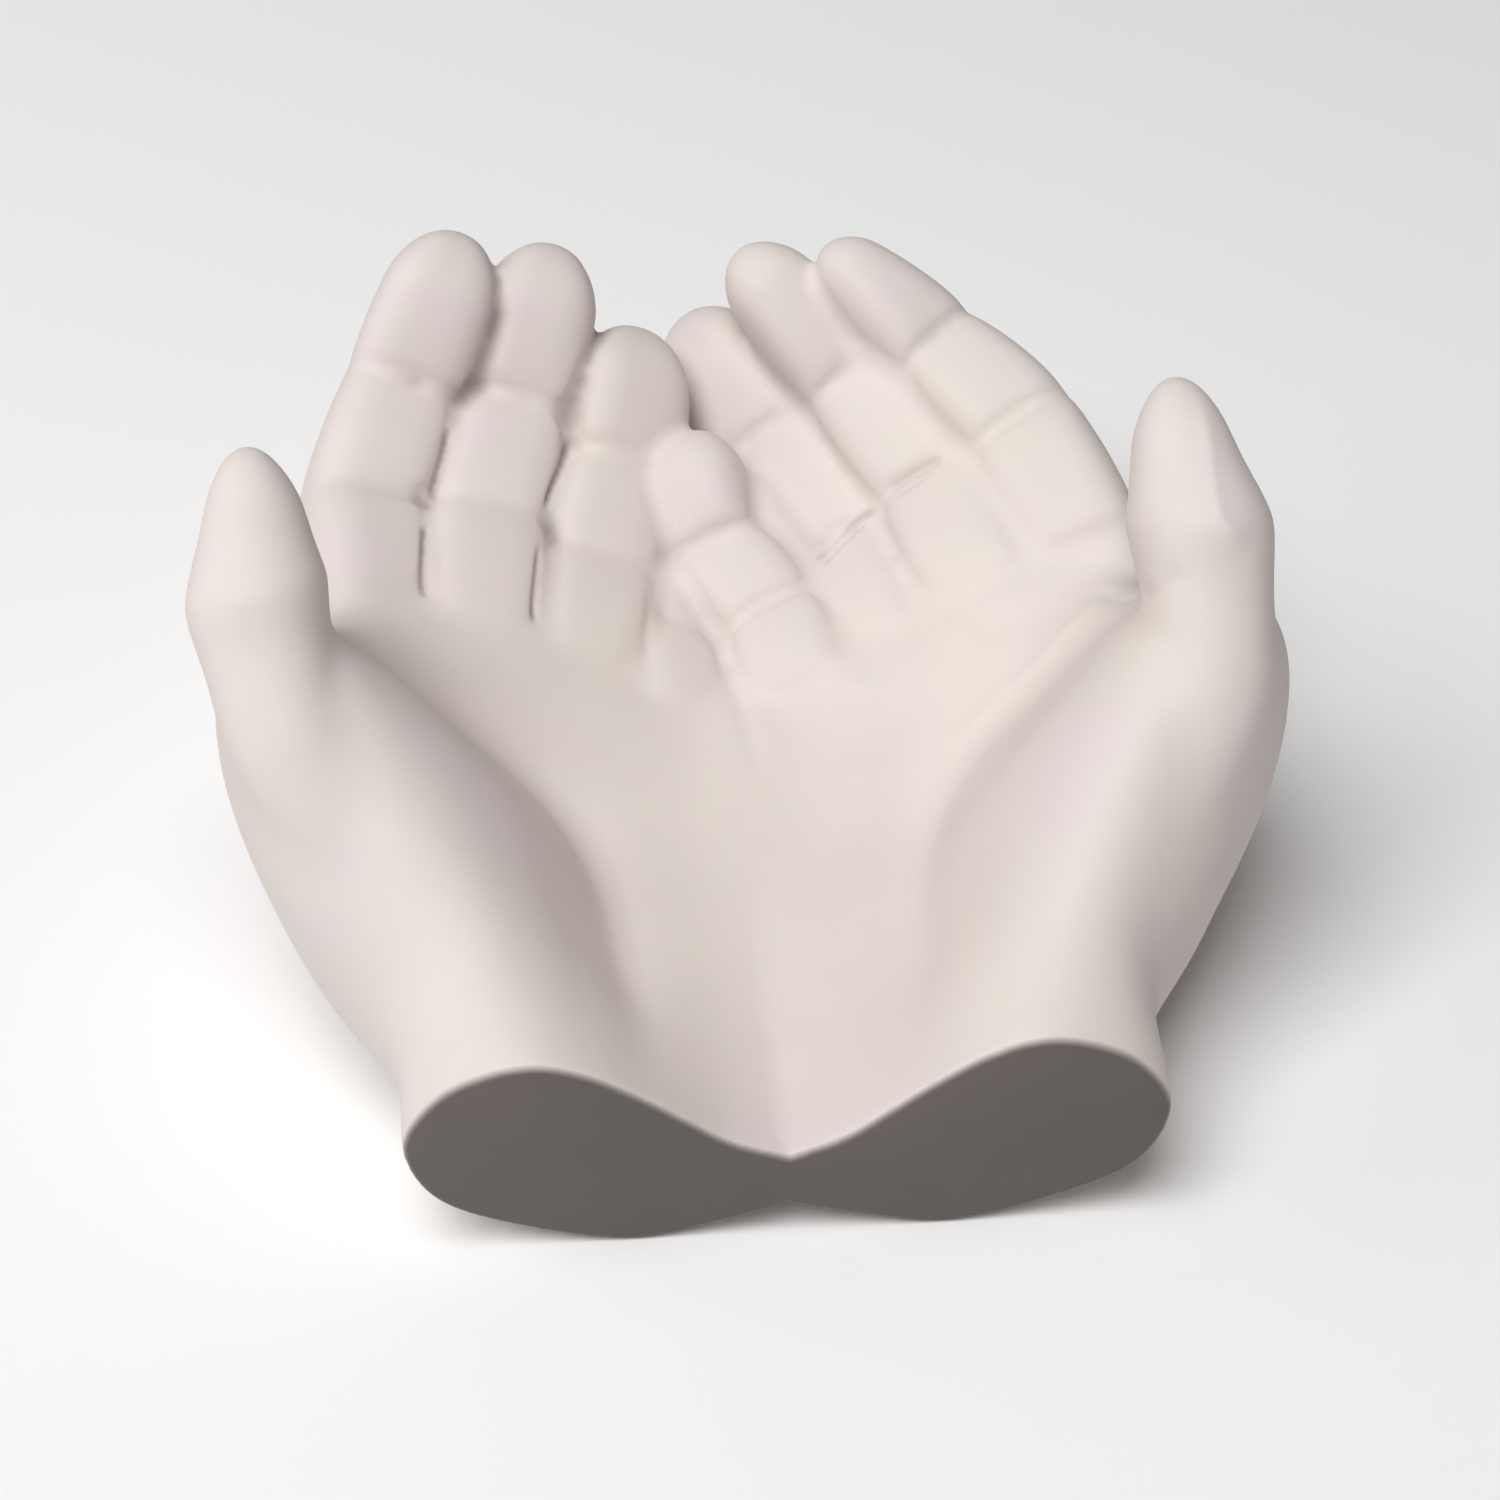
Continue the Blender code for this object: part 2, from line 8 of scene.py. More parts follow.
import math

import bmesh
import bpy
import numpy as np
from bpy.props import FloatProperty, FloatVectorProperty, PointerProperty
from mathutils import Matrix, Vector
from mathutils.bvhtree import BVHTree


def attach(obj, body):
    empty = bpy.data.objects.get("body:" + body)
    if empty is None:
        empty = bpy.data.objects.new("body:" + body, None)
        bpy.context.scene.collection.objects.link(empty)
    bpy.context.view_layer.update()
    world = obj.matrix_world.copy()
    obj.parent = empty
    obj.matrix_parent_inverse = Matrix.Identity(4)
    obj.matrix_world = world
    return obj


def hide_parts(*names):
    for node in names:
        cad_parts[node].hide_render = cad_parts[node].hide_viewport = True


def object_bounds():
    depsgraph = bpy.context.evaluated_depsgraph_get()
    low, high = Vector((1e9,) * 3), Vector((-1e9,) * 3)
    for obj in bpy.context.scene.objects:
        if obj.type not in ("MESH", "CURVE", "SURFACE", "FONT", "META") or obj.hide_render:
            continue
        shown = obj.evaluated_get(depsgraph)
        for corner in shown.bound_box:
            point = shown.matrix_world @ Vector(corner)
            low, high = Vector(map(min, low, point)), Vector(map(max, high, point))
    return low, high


bl_info = {
    "name": "Hand-shaped bowl",
    "version": (1, 0, 0),
    "blender": (4, 5, 0),
    "location": "View3D > Sidebar > Hand Bowl",
    "description": "Cast plaster bowl in the shape of two cupped hands, with its stage",
    "category": "Add Mesh",
}

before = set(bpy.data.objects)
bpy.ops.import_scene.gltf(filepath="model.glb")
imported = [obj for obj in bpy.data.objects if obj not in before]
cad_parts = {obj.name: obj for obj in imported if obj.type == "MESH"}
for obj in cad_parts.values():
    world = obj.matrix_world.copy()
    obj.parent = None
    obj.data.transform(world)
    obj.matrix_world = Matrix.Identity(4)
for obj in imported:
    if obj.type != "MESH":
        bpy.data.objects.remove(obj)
CAD_BOX = [tuple(corner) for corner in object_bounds()]
CAD_LOW = np.array(CAD_BOX[0])
CAD_HIGH = np.array(CAD_BOX[1])

MM = 0.001
TINY = 1e-12  # least square of a distance that is divided by
SIDES = {"right": 1, "left": -1}
NEIGHBOURS = (("index", "middle"), ("middle", "ring"), ("ring", "little"))

# Palms
PALM_LENGTH = 0.111  # flat of the wrist to the first crease of the fingers
PALM_BREADTH = 0.0845  # seam to the outside of the ball of the thumb
PALM_HEIGHT = 0.0696  # underside of the hand to the top of the ball of the thumb
DRAWN_LENGTH = 111  # millimetres from the wrist cut to the first creases, as the tables below are drawn
WRIST_ROUNDING = 0.0019
KNUCKLE_ROUNDING = 0.007
RIGHT_WRIST_TRIM = 0.0026  # how much slimmer the right hand is on the outside, over the bands below
TRIM_OUT = (0.48, 0.75)  # shares of the palm's breadth where the trim starts and where it is full
TRIM_START = (0.04, 0.22)  # the same along the palm's length, in shares of that
TRIM_STOP = (0.31, 0.52)  # and where it fades out again
SEAM_OVERLAP = 0.003
STAND_DEPTH = 0.0006  # how much is sanded off the underside
WRIST_CUT = 0.0003  # how much the flat cut takes off the wrists
RIM_STEPS = 5
PALM_STEPS = 70
PALM_POINTS = 96
KNUCKLE_SHARES = (0.15, 0.95)  # first and last ring of the rounding under the knuckles, as shares of it
KNUCKLE_STEPS = 8

# Fingers: half widths at the three creases and near the tip
HALF_WIDTHS = {
    ("left", "index"): (0.0112, 0.0113, 0.0103, 0.0087),
    ("left", "middle"): (0.0110, 0.0118, 0.0112, 0.0087),
    ("left", "ring"): (0.0108, 0.0117, 0.0112, 0.0090),
    ("left", "little"): (0.0094, 0.0090, 0.0082, 0.0073),
    ("right", "index"): (0.0106, 0.0103, 0.0085, 0.0052),
    ("right", "middle"): (0.0106, 0.0108, 0.0099, 0.0066),
    ("right", "ring"): (0.0106, 0.0109, 0.0109, 0.0094),
    ("right", "little"): (0.0094, 0.0090, 0.0083, 0.0075),
}
FINGER_FLATNESS = 0.84
FINGER_SQUARENESS = 3.4  # of a section: 2 is an ellipse, and more is squarer
TIP_SQUARENESS = {"right": 2.2, "left": 3.4}
PAD_RISES = (0.0020, 0.0018, 0.0023)
PAD_ROUNDNESS = 0.55  # power of the sine along a pad: less is flatter on top, with steeper ends
LAST_PAD_LEAN = 0.8  # power of the share along the last pad: less leans it towards its crease
SIDE_RISE = 0.4  # how much a pad widens its finger, as a share of its rise
CREASE_DEPTHS = {"right": 0.0012, "left": 0.0}  # added to the dips that the pads leave between them
CREASE_HALF_WIDTH = 0.0013
TIP_REACH = 1.35  # length of the rounding of a tip over its half width
TIP_ROUNDNESS = 2.2
ROOT_REACH = 0.75  # length of the buried root over that of the first bone
ROOT_SINK = 0.006
ROOT_NARROWING = 0.92
KNUCKLE_BEND = 0.006
FINGER_STEPS = 160
PAD_DEPTHS = np.array((0.80, 0.80, 0.80, 0.25))  # of the middles under the skin, over the half widths
PAD_FACING = np.array((-0.061, -0.775, 0.629))  # towards the eye of the photograph

# Thumbs: half widths from the buried root to the tip
THUMB_HALF_WIDTHS = (0.0050, 0.0100, 0.0126, 0.0118, 0.0060)
THUMB_FLATNESS = 0.83
THUMB_SQUARENESS = 2.35
THUMB_PAD_RISE = 0.0016
THUMB_PAD_ROUNDNESS = 0.7
THUMB_PAD_LEAN = 0.8
THUMB_TIP_REACH = 0.011
THUMB_TIP_ROUNDNESS = 2.3
THUMB_ROOT_ROUNDING = 0.008
THUMB_BEND = 0.009
THUMB_JOINT_RISE = 0.0016
THUMB_JOINT_SPREAD = 0.007
THUMB_PAD_FACING = (-0.8, 0.25, 0.35)
THUMB_STEPS = 90

# The skin between two fingers
WEB_HALF_WIDTH = 0.006
WEB_HALF_THICKNESS = 0.0036
WEB_RISE = {"right": 0.0045, "left": 0.0025}  # how far it lies over the middles of the fingers
WEB_TIP_SINK = {"right": 0.0065, "left": 0.0025}  # how much lower its end lies
WEB_TIP_ROUNDING = 0.005
WEB_REACH = {"right": 0.5, "left": 0.65}  # how far along the last bones it goes
LITTLE_WEB_REACH = 0.1  # the same beside a little finger
WEB_ROOT_REACH = 0.3
WEB_STEPS = 50
WEB_POINTS = 24

SECTION_POINTS = 40  # round a finger or a thumb
CORNER_STEPS = 9  # along each bend
BEND_SHARE = 0.45  # a bend takes at most this share of each bone beside it
END_FLOOR = 0.0004  # square of the size that a rounded end closes to, as a share of the full size

# Half outlines of a hand across the wrist and the palm, in millimetres: a station as a share of the palm's
# length, then points (out from the seam, up) over the palm from the seam and back under the knuckles
PALM_OUTLINES = (
    (0.00, ((12.6, ), (8.3, 18), (15, 23), (22, 28.4), (30, 33.5), (38, 36), (46, 34.6), (53.5, 30),
            (58.6, 21), (55, 10.5), (45, 4), (26, -1.4), (12, 0.8), (6, ))),
    (0.16, ((12.0, ), (8, 17), (15, 21), (21.5, 25), (28.5, 32.5), (37, 39.5), (46, 42), (55, 38.5),
            (60, 27), (57, 12), (46, 3.2), (28, -1.6), (12, 0.6), (6, ))),
    (0.32, ((12.4, ), (8.5, 16.8), (17, 20), (23.5, 22), (30, 31.5), (38.5, 43.5), (50, 53), (62, 54),
            (72.5, 42), (70, 20), (53, 3.8), (31, -1.6), (13, 0.6), (6, ))),
    (0.49, ((14.5, ), (9, 17.8), (18, 20), (25.5, 21.5), (32, 32.5), (41.5, 47), (54, 60.5), (67, 68),
            (82.5, 58), (79, 28), (59.5, 7), (34, -1.6), (14, 0.6), (6.5, ))),
    (0.63, ((17.0, ), (9, 18.6), (20, 20.8), (29.5, 22), (37, 31.5), (47, 44.5), (58.5, 58.5), (71, 68),
            (84.5, 59), (82, 30), (62.5, 10), (37, -1.0), (15, 0.8), (7.5, ))),
    (0.79, ((19.2, ), (10, 20.8), (23, 24.3), (38, 28.8), (47, 34), (56, 43), (64, 51.5), (71, 54.5),
            (80.5, 47), (79, 30), (62, 13), (39, 4), (15, 2.5), (9, ))),
    (0.92, ((21.0, ), (9, 22.6), (20, 27), (31, 31.5), (42, 35.5), (52, 39), (60, 43), (67, 45),
            (75, 37.5), (73.5, 25.5), (58.5, 16), (39, 9), (15, 5), (10, ))),
    (1.00, ((21.0, ), (8, 22.5), (18, 26.5), (29, 32), (40, 36.5), (50, 40), (59, 42.5), (65, 43),
            (72, 37), (71.5, 28.5), (59, 20.5), (39, 13.5), (15, 8), (10, ))),
    (1.08, ((18.5, ), (8, 20), (18, 24), (29, 30), (40, 35), (50, 38.5), (59, 40), (65, 39.5),
            (70, 36), (69, 30), (57, 24), (37, 17), (15, 11.5), (10, ))),
)

# Where each finger starts on the palm (out from the seam, forward, up), in millimetres; its three bones as
# (length in millimetres, degrees in towards the seam, degrees up); and how far its pads turn to the seam
FINGER_POSES = {
    ("right", "index"): ((60, 113, 46), ((27.5, 20, 18.5), (23, 38, 13), (25.5, 48, 25)), 24),
    ("right", "middle"): ((43, 111, 40), ((28.5, 14, 9), (25.5, 31, 17), (29, 49.5, 33)), 28),
    ("right", "ring"): ((25.5, 109, 30), ((28, 11, 2), (28, 23, 17), (29, 31, 20)), 36),
    ("right", "little"): ((11, 103.5, 25.8), ((18.5, 15, 7.5), (18, 32, 15.5), (21.5, 6, 32)), 20),
    ("left", "index"): ((62, 114, 44.2), ((21.5, -1.4, 9), (23.5, 22, 25), (27, 38, 46)), 22),
    ("left", "middle"): ((44.7, 110, 38), ((26, 5.5, 11), (24, 16, 20), (28, 28, 46)), 17),
    ("left", "ring"): ((27.5, 107, 30), ((25, 9.1, 10), (22, 15, 21), (25, 13.5, 33)), 22),
    ("left", "little"): ((11, 103, 23.5), ((19, 6, 3.5), (17, 17, 8), (17.5, 19, 24)), 22),
}
# The same for the thumbs, whose first point lies inside the heel of the hand
THUMB_POSES = {
    "right": ((48, 30, 26), ((24, -47, 42), (21.5, -39, 40), (26.5, 1, 50), (25.5, 12, 47))),
    "left": ((48, 30, 26), ((24.5, -52, 44), (21.5, -42, 40), (24, -17, 46), (24, 1, 55))),
}

# The photograph's camera: where it looks, from which side, how high and from how far
LOOKS_AT = np.array((0.0013, -0.0188, 0.0353))
AZIMUTH = math.radians(-4.5)
ELEVATION = math.radians(39)
DISTANCE = 0.654
LENS = 96.0  # millimetres, on a sensor 36 millimetres wide
SENSOR = 36.0
PICTURE = 1500  # pixels across the photograph

# Lines pressed into the skin where the photograph shows them: depth and half width in millimetres, then
# pixels of the photograph
PALM_LINES = (
    ("left index to middle, groove", 0.9, 0.8, ((450, 424), (445, 450), (437, 478), (429, 504))),
    ("left index to middle, foot", 0.9, 0.8, ((426, 522), (425, 545), (424, 575), (424, 602))),
    ("left middle to ring, groove", 0.9, 0.8, ((569, 436), (563, 462), (553, 487), (544, 512))),
    ("left middle to ring, foot", 0.9, 0.8, ((541, 540), (538, 573), (535, 600), (534, 628))),
    ("left ring to little, foot", 0.35, 1.2, ((650, 585), (649, 612), (647, 640), (645, 676))),
    ("right fold of the thumb", 0.4, 1.8, ((1093, 588), (1116, 599), (1136, 599), (1156, 593), (1187, 568))),
    ("right hand over left", 0.4, 1.7, ((678, 566), (694, 604), (714, 644), (734, 689), (749, 733),
                                        (768, 800))),
)

# Ridges with a sharp crest: height and width in millimetres, then pixels of the photograph
RIDGES = (
    ("ball of the right thumb", 0.6, 3.4, ((1110, 590), (1090, 610), (1066, 631), (1035, 666), (1004, 693),
                                           (970, 728), (945, 760))),
    ("back of the right thumb", 0.6, 2.2, ((1200, 392), (1209, 443), (1216, 497), (1227, 528), (1252, 548))),
)

# Creases across the fingers, in the same terms
FINGER_LINES = (
    ("right ring, upper slit", 0.8, 0.6, ((814, 564), (828, 549), (843, 535), (863, 517), (879, 510))),
    ("right ring, lower slit", 0.7, 0.6, ((821, 568), (836, 549), (852, 534), (866, 521))),
    ("right middle, upper crease", 0.6, 0.8, ((883, 495), (906, 479), (928, 466), (944, 456))),
    ("right middle, lower crease", 0.3, 0.7, ((893, 498), (912, 486), (930, 474))),
)
LINE_STEPS = 12  # points of a pressed line for each of its pixels
LINE_TAPER = 0.22  # share of a line over which each end fades out
LINE_JUMP = 0.004  # a longer step between two hits ends a line
FEWEST_POINTS = 4  # of a line that is kept
LINE_REACH = 3  # how far from a line its effect is worked out, over its half width
RIDGE_REACH = 5  # the same for a ridge, over its width
FINE_LINE = 0.0010  # lines up to this half width get painted shade, and the faces along them are split
SPLIT_REACH = 2.5  # how far from a fine line faces may be split, over its half width
SPLIT_WIDTH = 1.6  # width of the bell that chooses those faces, over the line's half width
SPLIT_SHARE = 0.1  # and the share of the bell above which they are split
FULL_MARK = 0.0019  # a fine line of this depth gets the full painted crease shade
KEPT_DEPTH = 0.00003  # skin moved less than this may be thinned out

# Grooves and creases. A hollow is measured by one over its radius, and each band says where an effect starts
# and where it is full
HOLLOW_REACH = 0.0020  # how far a hollow is averaged along the skin
MOST_HOLLOW = 700.0  # a sharper hollow than this comes from a sliver of a face
HOLLOW_BAND = (50.0, 300.0)  # deepening
HOLLOW_DEPTH = 0.0016
SHALLOW_SHARE = 0.3  # how much of that the grooves of the right hand and of the little fingers get
SHALLOW_FROM = (-0.022, -0.016)  # where, across the bowl, the left hand's deep grooves turn into those
GROOVE_BAND = (25.0, 160.0)  # smoothing along the grooves
GROOVE_PASSES = 14  # passes of that smoothing for the drawn cell
LAST_PASSES = 3  # the same once the grooves are deepened
CREASE_SHADE_BAND = (180.0, 600.0)  # painted shade in the hollows of the grooves and creases

# How the skin is smoothed: each pair is where an effect starts and where it is full, in metres as drawn
PALM_PASSES = 12
THUMB_ROOT_PASSES = 30
FINGER_PASSES = 15
DRAWN_CELL = 0.0015  # the cell that those passes are meant for
SMOOTH_STEP = 0.5  # how far each pass moves a vertex towards the middle of its neighbours
SHARE_STEPS = 20  # a vertex's share of the smoothing is rounded to one over this
KEPT_CRISP = 0.8  # how much less the thumb tips and the seam near the wrists are smoothed
FINGER_SHARE = 0.25  # how much the fingers are smoothed, over their feet
RIM_BAND = (0.001, 0.006)
CUT_BAND = (0.0005, 0.003)
TIPS_BAND = (0.066, 0.076)
SEAM_BAND = (0.002, 0.007)
SEAM_LENGTH = (0.02, 0.06)
THUMB_ROOT_START = (0.034, 0.044)
THUMB_ROOT_STOP = (0.062, 0.074)
THUMB_ROOT_OUT = (0.040, 0.052)
THUMB_ROOT_FORWARD = (0.012, 0.024)
FEET_START = (0.092, 0.100)
FEET_STOP = (0.110, 0.120)
MOST_TRIANGLES = 190000
SMOOTH_ANGLE = math.radians(50)  # edges sharper than this stay crisp

# Finish
CUT_SHADE_BAND = (0.0001, 0.0012)  # distances from the flat of the wrists where the painted shade of the cut is full and ends
PATCH_BAND = (0.35, 0.65)  # part of the noise that turns from warm to cool
POLISH_SCALE = 220.0  # spots per metre
POLISH_RANGE = (-0.06, 0.08)  # how much smoother and rougher than the roughness the plaster gets
GRAIN_SCALE = 900.0  # grains per metre
GRAIN_STRENGTH = 0.35

# Stage: where the lights are, what they shine on and how wide they are
KEY_PLACE = (-0.52, -0.65, 1.84)
KEY_TARGET = (0, 0, 0.03)
KEY_SIDE = 1.5
FILL_PLACE = (-1.0, 0.1, 0.5)
FILL_TARGET = (0, 0, 0.05)
FILL_SIDE = 0.7
SKY_TINT = (1, 0.94, 0.91, 1)
FLOOR_ROUGHNESS = 0.9

drawn = np.array([point for _, outline in PALM_OUTLINES for point in outline if len(point) == 2])
drawn_breadth = drawn[:, 0].max()
drawn_height = np.ptp(drawn[:, 1])
# metres per drawn millimetre out from the seam, forward and up
SCALE = np.array((PALM_BREADTH / drawn_breadth, PALM_LENGTH / DRAWN_LENGTH, PALM_HEIGHT / drawn_height))


class BowlSizes(bpy.types.PropertyGroup):
    """Sizes and finish of the bowl that a user would change."""

    skin_cell: FloatProperty(
        name="Skin cell", description="Size of the cells of the fused skin", default=0.0007, min=0.0005,
        unit="LENGTH",
    )
    crease_strength: FloatProperty(
        name="Crease strength", description="Depth of every crease over its drawn depth", default=1.0, min=0.0
    )
    colour_warm: FloatVectorProperty(
        name="Warm plaster", description="Yellowish patches of the plaster", default=(0.74, 0.68, 0.63),
        subtype="COLOR",
    )
    colour_cool: FloatVectorProperty(
        name="Cool plaster", description="Pinkish patches of the plaster", default=(0.73, 0.655, 0.64),
        subtype="COLOR",
    )
    # painted shade: a darker colour in the hollows of the creases and along the fine pressed lines
    colour_crease_shade: FloatVectorProperty(
        name="Painted crease shade", description="Painted shade deep in the creases", default=(0.42, 0.37, 0.34),
        subtype="COLOR",
    )
    # painted shade: the flat of the cut wrists is coloured dark to stand in for its shade
    colour_cut_shade: FloatVectorProperty(
        name="Painted shade on the cuts", description="Painted shade on the flat of the cut wrists", default=(0.14, 0.12, 0.11),
        subtype="COLOR",
    )
    patch_size: FloatProperty(
        name="Patch size", description="Width of a patch of colour", default=0.028, unit="LENGTH"
    )
    grain_height: FloatProperty(
        name="Grain height", description="How far the sanded grain stands up", default=0.00003, unit="LENGTH"
    )
    roughness: FloatProperty(
        name="Roughness", description="Roughness of the sanded plaster", default=0.62, subtype="FACTOR"
    )


class StageSizes(bpy.types.PropertyGroup):
    """The floor and lights."""

    floor_side: FloatProperty(name="Floor side", description="Side of the floor", default=6.0, unit="LENGTH")
    floor_colour: FloatVectorProperty(
        name="Floor colour", description="Pale floor", default=(0.92, 0.92, 0.92), subtype="COLOR"
    )
    key_power: FloatProperty(
        name="Key light", description="Power of the main softbox", default=40.0, unit="POWER"
    )
    fill_power: FloatProperty(name="Fill light", description="Power of the fill", default=2.0, unit="POWER")
    sky_strength: FloatProperty(name="Sky", description="Strength of the even light all round", default=0.1)


def ramp(value, low, high):
    """0 below low, 1 above high, and a soft S between."""
    share = np.clip((value - low) / (high - low), 0, 1)
    return share * share * (3 - 2 * share)


def through(points, where, closed=False):
    """Smooth curve through points, read at the places given in where, counted in points from the first."""
    points = np.asarray(points, float)
    if closed:
        padded = np.concatenate([points[-1:], points, points[:2]])
        last = len(points) - 1
    else:
        padded = np.concatenate([2 * points[:1] - points[1:2], points, 2 * points[-1:] - points[-2:-1]])
        last = len(points) - 2
    index = np.minimum(where.astype(int), last)
    share = (where - index).reshape(-1, *([1] * (points.ndim - 1)))
    a, b, c, d = (padded[index + k] for k in range(4))
    square = 2 * a - 5 * b + 4 * c - d
    cube = -a + 3 * b - 3 * c + d
    return 0.5 * (2 * b + (c - a) * share + square * share**2 + cube * share**3)


def loft(name, rings):
    """Closed mesh object over rings of equal count, with a fan closing each end."""
    count, around, _ = rings.shape
    points = np.vstack([rings.reshape(-1, 3), rings[0].mean(0), rings[-1].mean(0)])
    here = np.arange(around)
    after = (here + 1) % around
    faces = []
    for row in range(count - 1):
        low = row * around
        high = low + around
        faces += np.stack([low + here, low + after, high + after, high + here], 1).tolist()
    last = (count - 1) * around
    faces += np.stack([np.full(around, count * around), after, here], 1).tolist()
    faces += np.stack([np.full(around, count * around + 1), last + here, last + after], 1).tolist()
    mesh = bpy.data.meshes.new(name)
    mesh.from_pydata(points, [], faces)
    shape = bmesh.new()
    shape.from_mesh(mesh)
    bmesh.ops.recalc_face_normals(shape, faces=shape.faces)
    shape.to_mesh(mesh)
    shape.free()
    obj = bpy.data.objects.new(name, mesh)
    bpy.context.scene.collection.objects.link(obj)
    return obj


def palm_outline(outline):
    """The outline's points in metres. A point with one number lies on the seam, plus the overlap."""
    points = []
    for point in outline:
        if len(point) == 1:
            points.append((-SEAM_OVERLAP, point[0] * SCALE[2]))
        else:
            points.append((point[0] * SCALE[0], point[1] * SCALE[2]))
    return points


def wrist_rim(ring):
    """Rings that round the edge of the flat cut, from the flat to one rounding further along."""
    along = np.roll(ring, -1, 0) - np.roll(ring, 1, 0)
    outward = np.stack([-along[:, 2], np.zeros(len(ring)), along[:, 0]], -1)
    outward /= np.linalg.norm(outward, axis=1)[:, None]
    if (outward * (ring - ring.mean(0))).sum() < 0:
        outward = -outward
    rims = []
    for turn in np.linspace(0, math.pi / 2, RIM_STEPS, endpoint=False):
        rim = ring - outward * WRIST_ROUNDING * (1 - math.sin(turn))
        rim[:, 1] = WRIST_ROUNDING * (1 - math.cos(turn))
        rims.append(rim)
    return rims


def palm(hand):
    """One palm with its wrist, lofted over the outlines, rounded at the wrist cut and under the knuckles."""
    stations = np.array([share for share, _ in PALM_OUTLINES]) * PALM_LENGTH
    table = np.array([palm_outline(outline) for _, outline in PALM_OUTLINES])
    forward = np.linspace(0, stations[-1], PALM_STEPS)
    outlines = through(table, np.interp(forward, stations, np.arange(len(stations))))
    around = np.arange(PALM_POINTS) * len(table[0]) / PALM_POINTS
    rings = []
    for outline, y in zip(outlines, forward):
        ring = np.insert(through(outline, around, closed=True), 1, y, axis=1)
        rings.append(ring)
    rims = wrist_rim(rings[0])
    middle = rings[-1].mean(0)
    ends = []
    for share in np.linspace(*KNUCKLE_SHARES, KNUCKLE_STEPS):
        end = middle + (rings[-1] - middle) * math.sqrt(1 - share**2)
        end[:, 1] = forward[-1] + KNUCKLE_ROUNDING * share
        ends.append(end)
    body = [ring for ring, y in zip(rings, forward) if y > WRIST_ROUNDING]
    rings = np.array(rims + body + ends)
    if hand == "right":
        out = ramp(rings[..., 0] / PALM_BREADTH, *TRIM_OUT)
        near = ramp(rings[..., 1] / PALM_LENGTH, *TRIM_START)
        far = ramp(rings[..., 1] / PALM_LENGTH, *TRIM_STOP)
        rings[..., 0] -= RIGHT_WRIST_TRIM * out * near * (1 - far)
    rings[..., 0] *= SIDES[hand]
    return loft(f"{hand}_palm", rings)


def joints_of(hand, root, bones):
    """The points along a finger, from its root and each bone's length, turn towards the seam and rise."""
    side = SIDES[hand]
    points = [np.array(root) * SCALE * (side, 1, 1)]
    for length, inward, rise in bones:
        turn = math.radians(inward)
        climb = math.radians(rise)
        flat = math.cos(climb)
        step = np.array((-side * math.sin(turn) * flat, math.cos(turn) * flat, math.sin(climb)))
        points.append(points[-1] + length * MM * step)
    return np.array(points)


def rounded_path(joints, bend, count):
    """Evenly spaced points along the joints and their distances, with each corner turned over the length
    bend."""
    points = [joints[0]]
    for before, corner, after in zip(joints[:-2], joints[1:-1], joints[2:]):
        back = np.linalg.norm(corner - before)
        on = np.linalg.norm(after - corner)
        reach = min(bend, BEND_SHARE * back, BEND_SHARE * on)
        start = corner + (before - corner) / back * reach
        end = corner + (after - corner) / on * reach
        for t in np.linspace(0, 1, CORNER_STEPS):
            points.append((1 - t) ** 2 * start + 2 * t * (1 - t) * corner + t**2 * end)
    points.append(joints[-1])
    points = np.array(points)
    steps = np.linalg.norm(np.diff(points, axis=0), axis=1)
    distances = np.concatenate([[0], np.cumsum(steps)])
    even = np.linspace(0, distances[-1], count)
    path = np.stack([np.interp(even, distances, points[:, k]) for k in range(3)], -1)
    return path, even


def places_on(path, distances, joints):
    """How far along the path each joint lies."""
    return np.array([distances[np.argmin(np.linalg.norm(path - joint, axis=1))] for joint in joints])


def sweep(name, path, facing, half_widths, fronts, backs, squareness, around=SECTION_POINTS):
    """Loft of rounded sections along a path: fronts is the half thickness on the facing side, and backs is
    that behind."""
    along = np.gradient(path, axis=0)
    along /= np.linalg.norm(along, axis=1)[:, None]
    up = facing - (along @ facing)[:, None] * along
    up /= np.linalg.norm(up, axis=1)[:, None]
    across = np.cross(along, up)
    angle = np.linspace(0, 2 * math.pi, around, endpoint=False)
    power = 2 / np.broadcast_to(squareness, len(path))[:, None]
    wide = np.sign(np.cos(angle)) * np.abs(np.cos(angle)) ** power
    high = np.sign(np.sin(angle)) * np.abs(np.sin(angle)) ** power
    thick = np.where(high > 0, fronts[:, None], backs[:, None]) * high
    rings = path[:, None] + across[:, None] * (half_widths[:, None] * wide)[..., None]
    return loft(name, rings + up[:, None] * thick[..., None])


def end_rounding(distances, reach, power):
    """1 along a sweep, falling to 0 over its last reach as a round end does."""
    share = np.clip((distances - (distances[-1] - reach)) / reach, 0, 1)
    return np.sqrt(np.maximum(1 - share**power, END_FLOOR))


def finger_middles(hand, name):
    """The middles of a finger at its creases and tip, which lie under the skin of its pads, and the ways up
    there."""
    root, bones, _ = FINGER_POSES[hand, name]
    skin = joints_of(hand, root, bones)
    along = np.gradient(skin, axis=0)
    along /= np.linalg.norm(along, axis=1)[:, None]
    up = PAD_FACING - (along @ PAD_FACING)[:, None] * along
    up /= np.linalg.norm(up, axis=1)[:, None]
    depths = np.array(HALF_WIDTHS[hand, name]) * PAD_DEPTHS
    return skin - up * depths[:, None], up


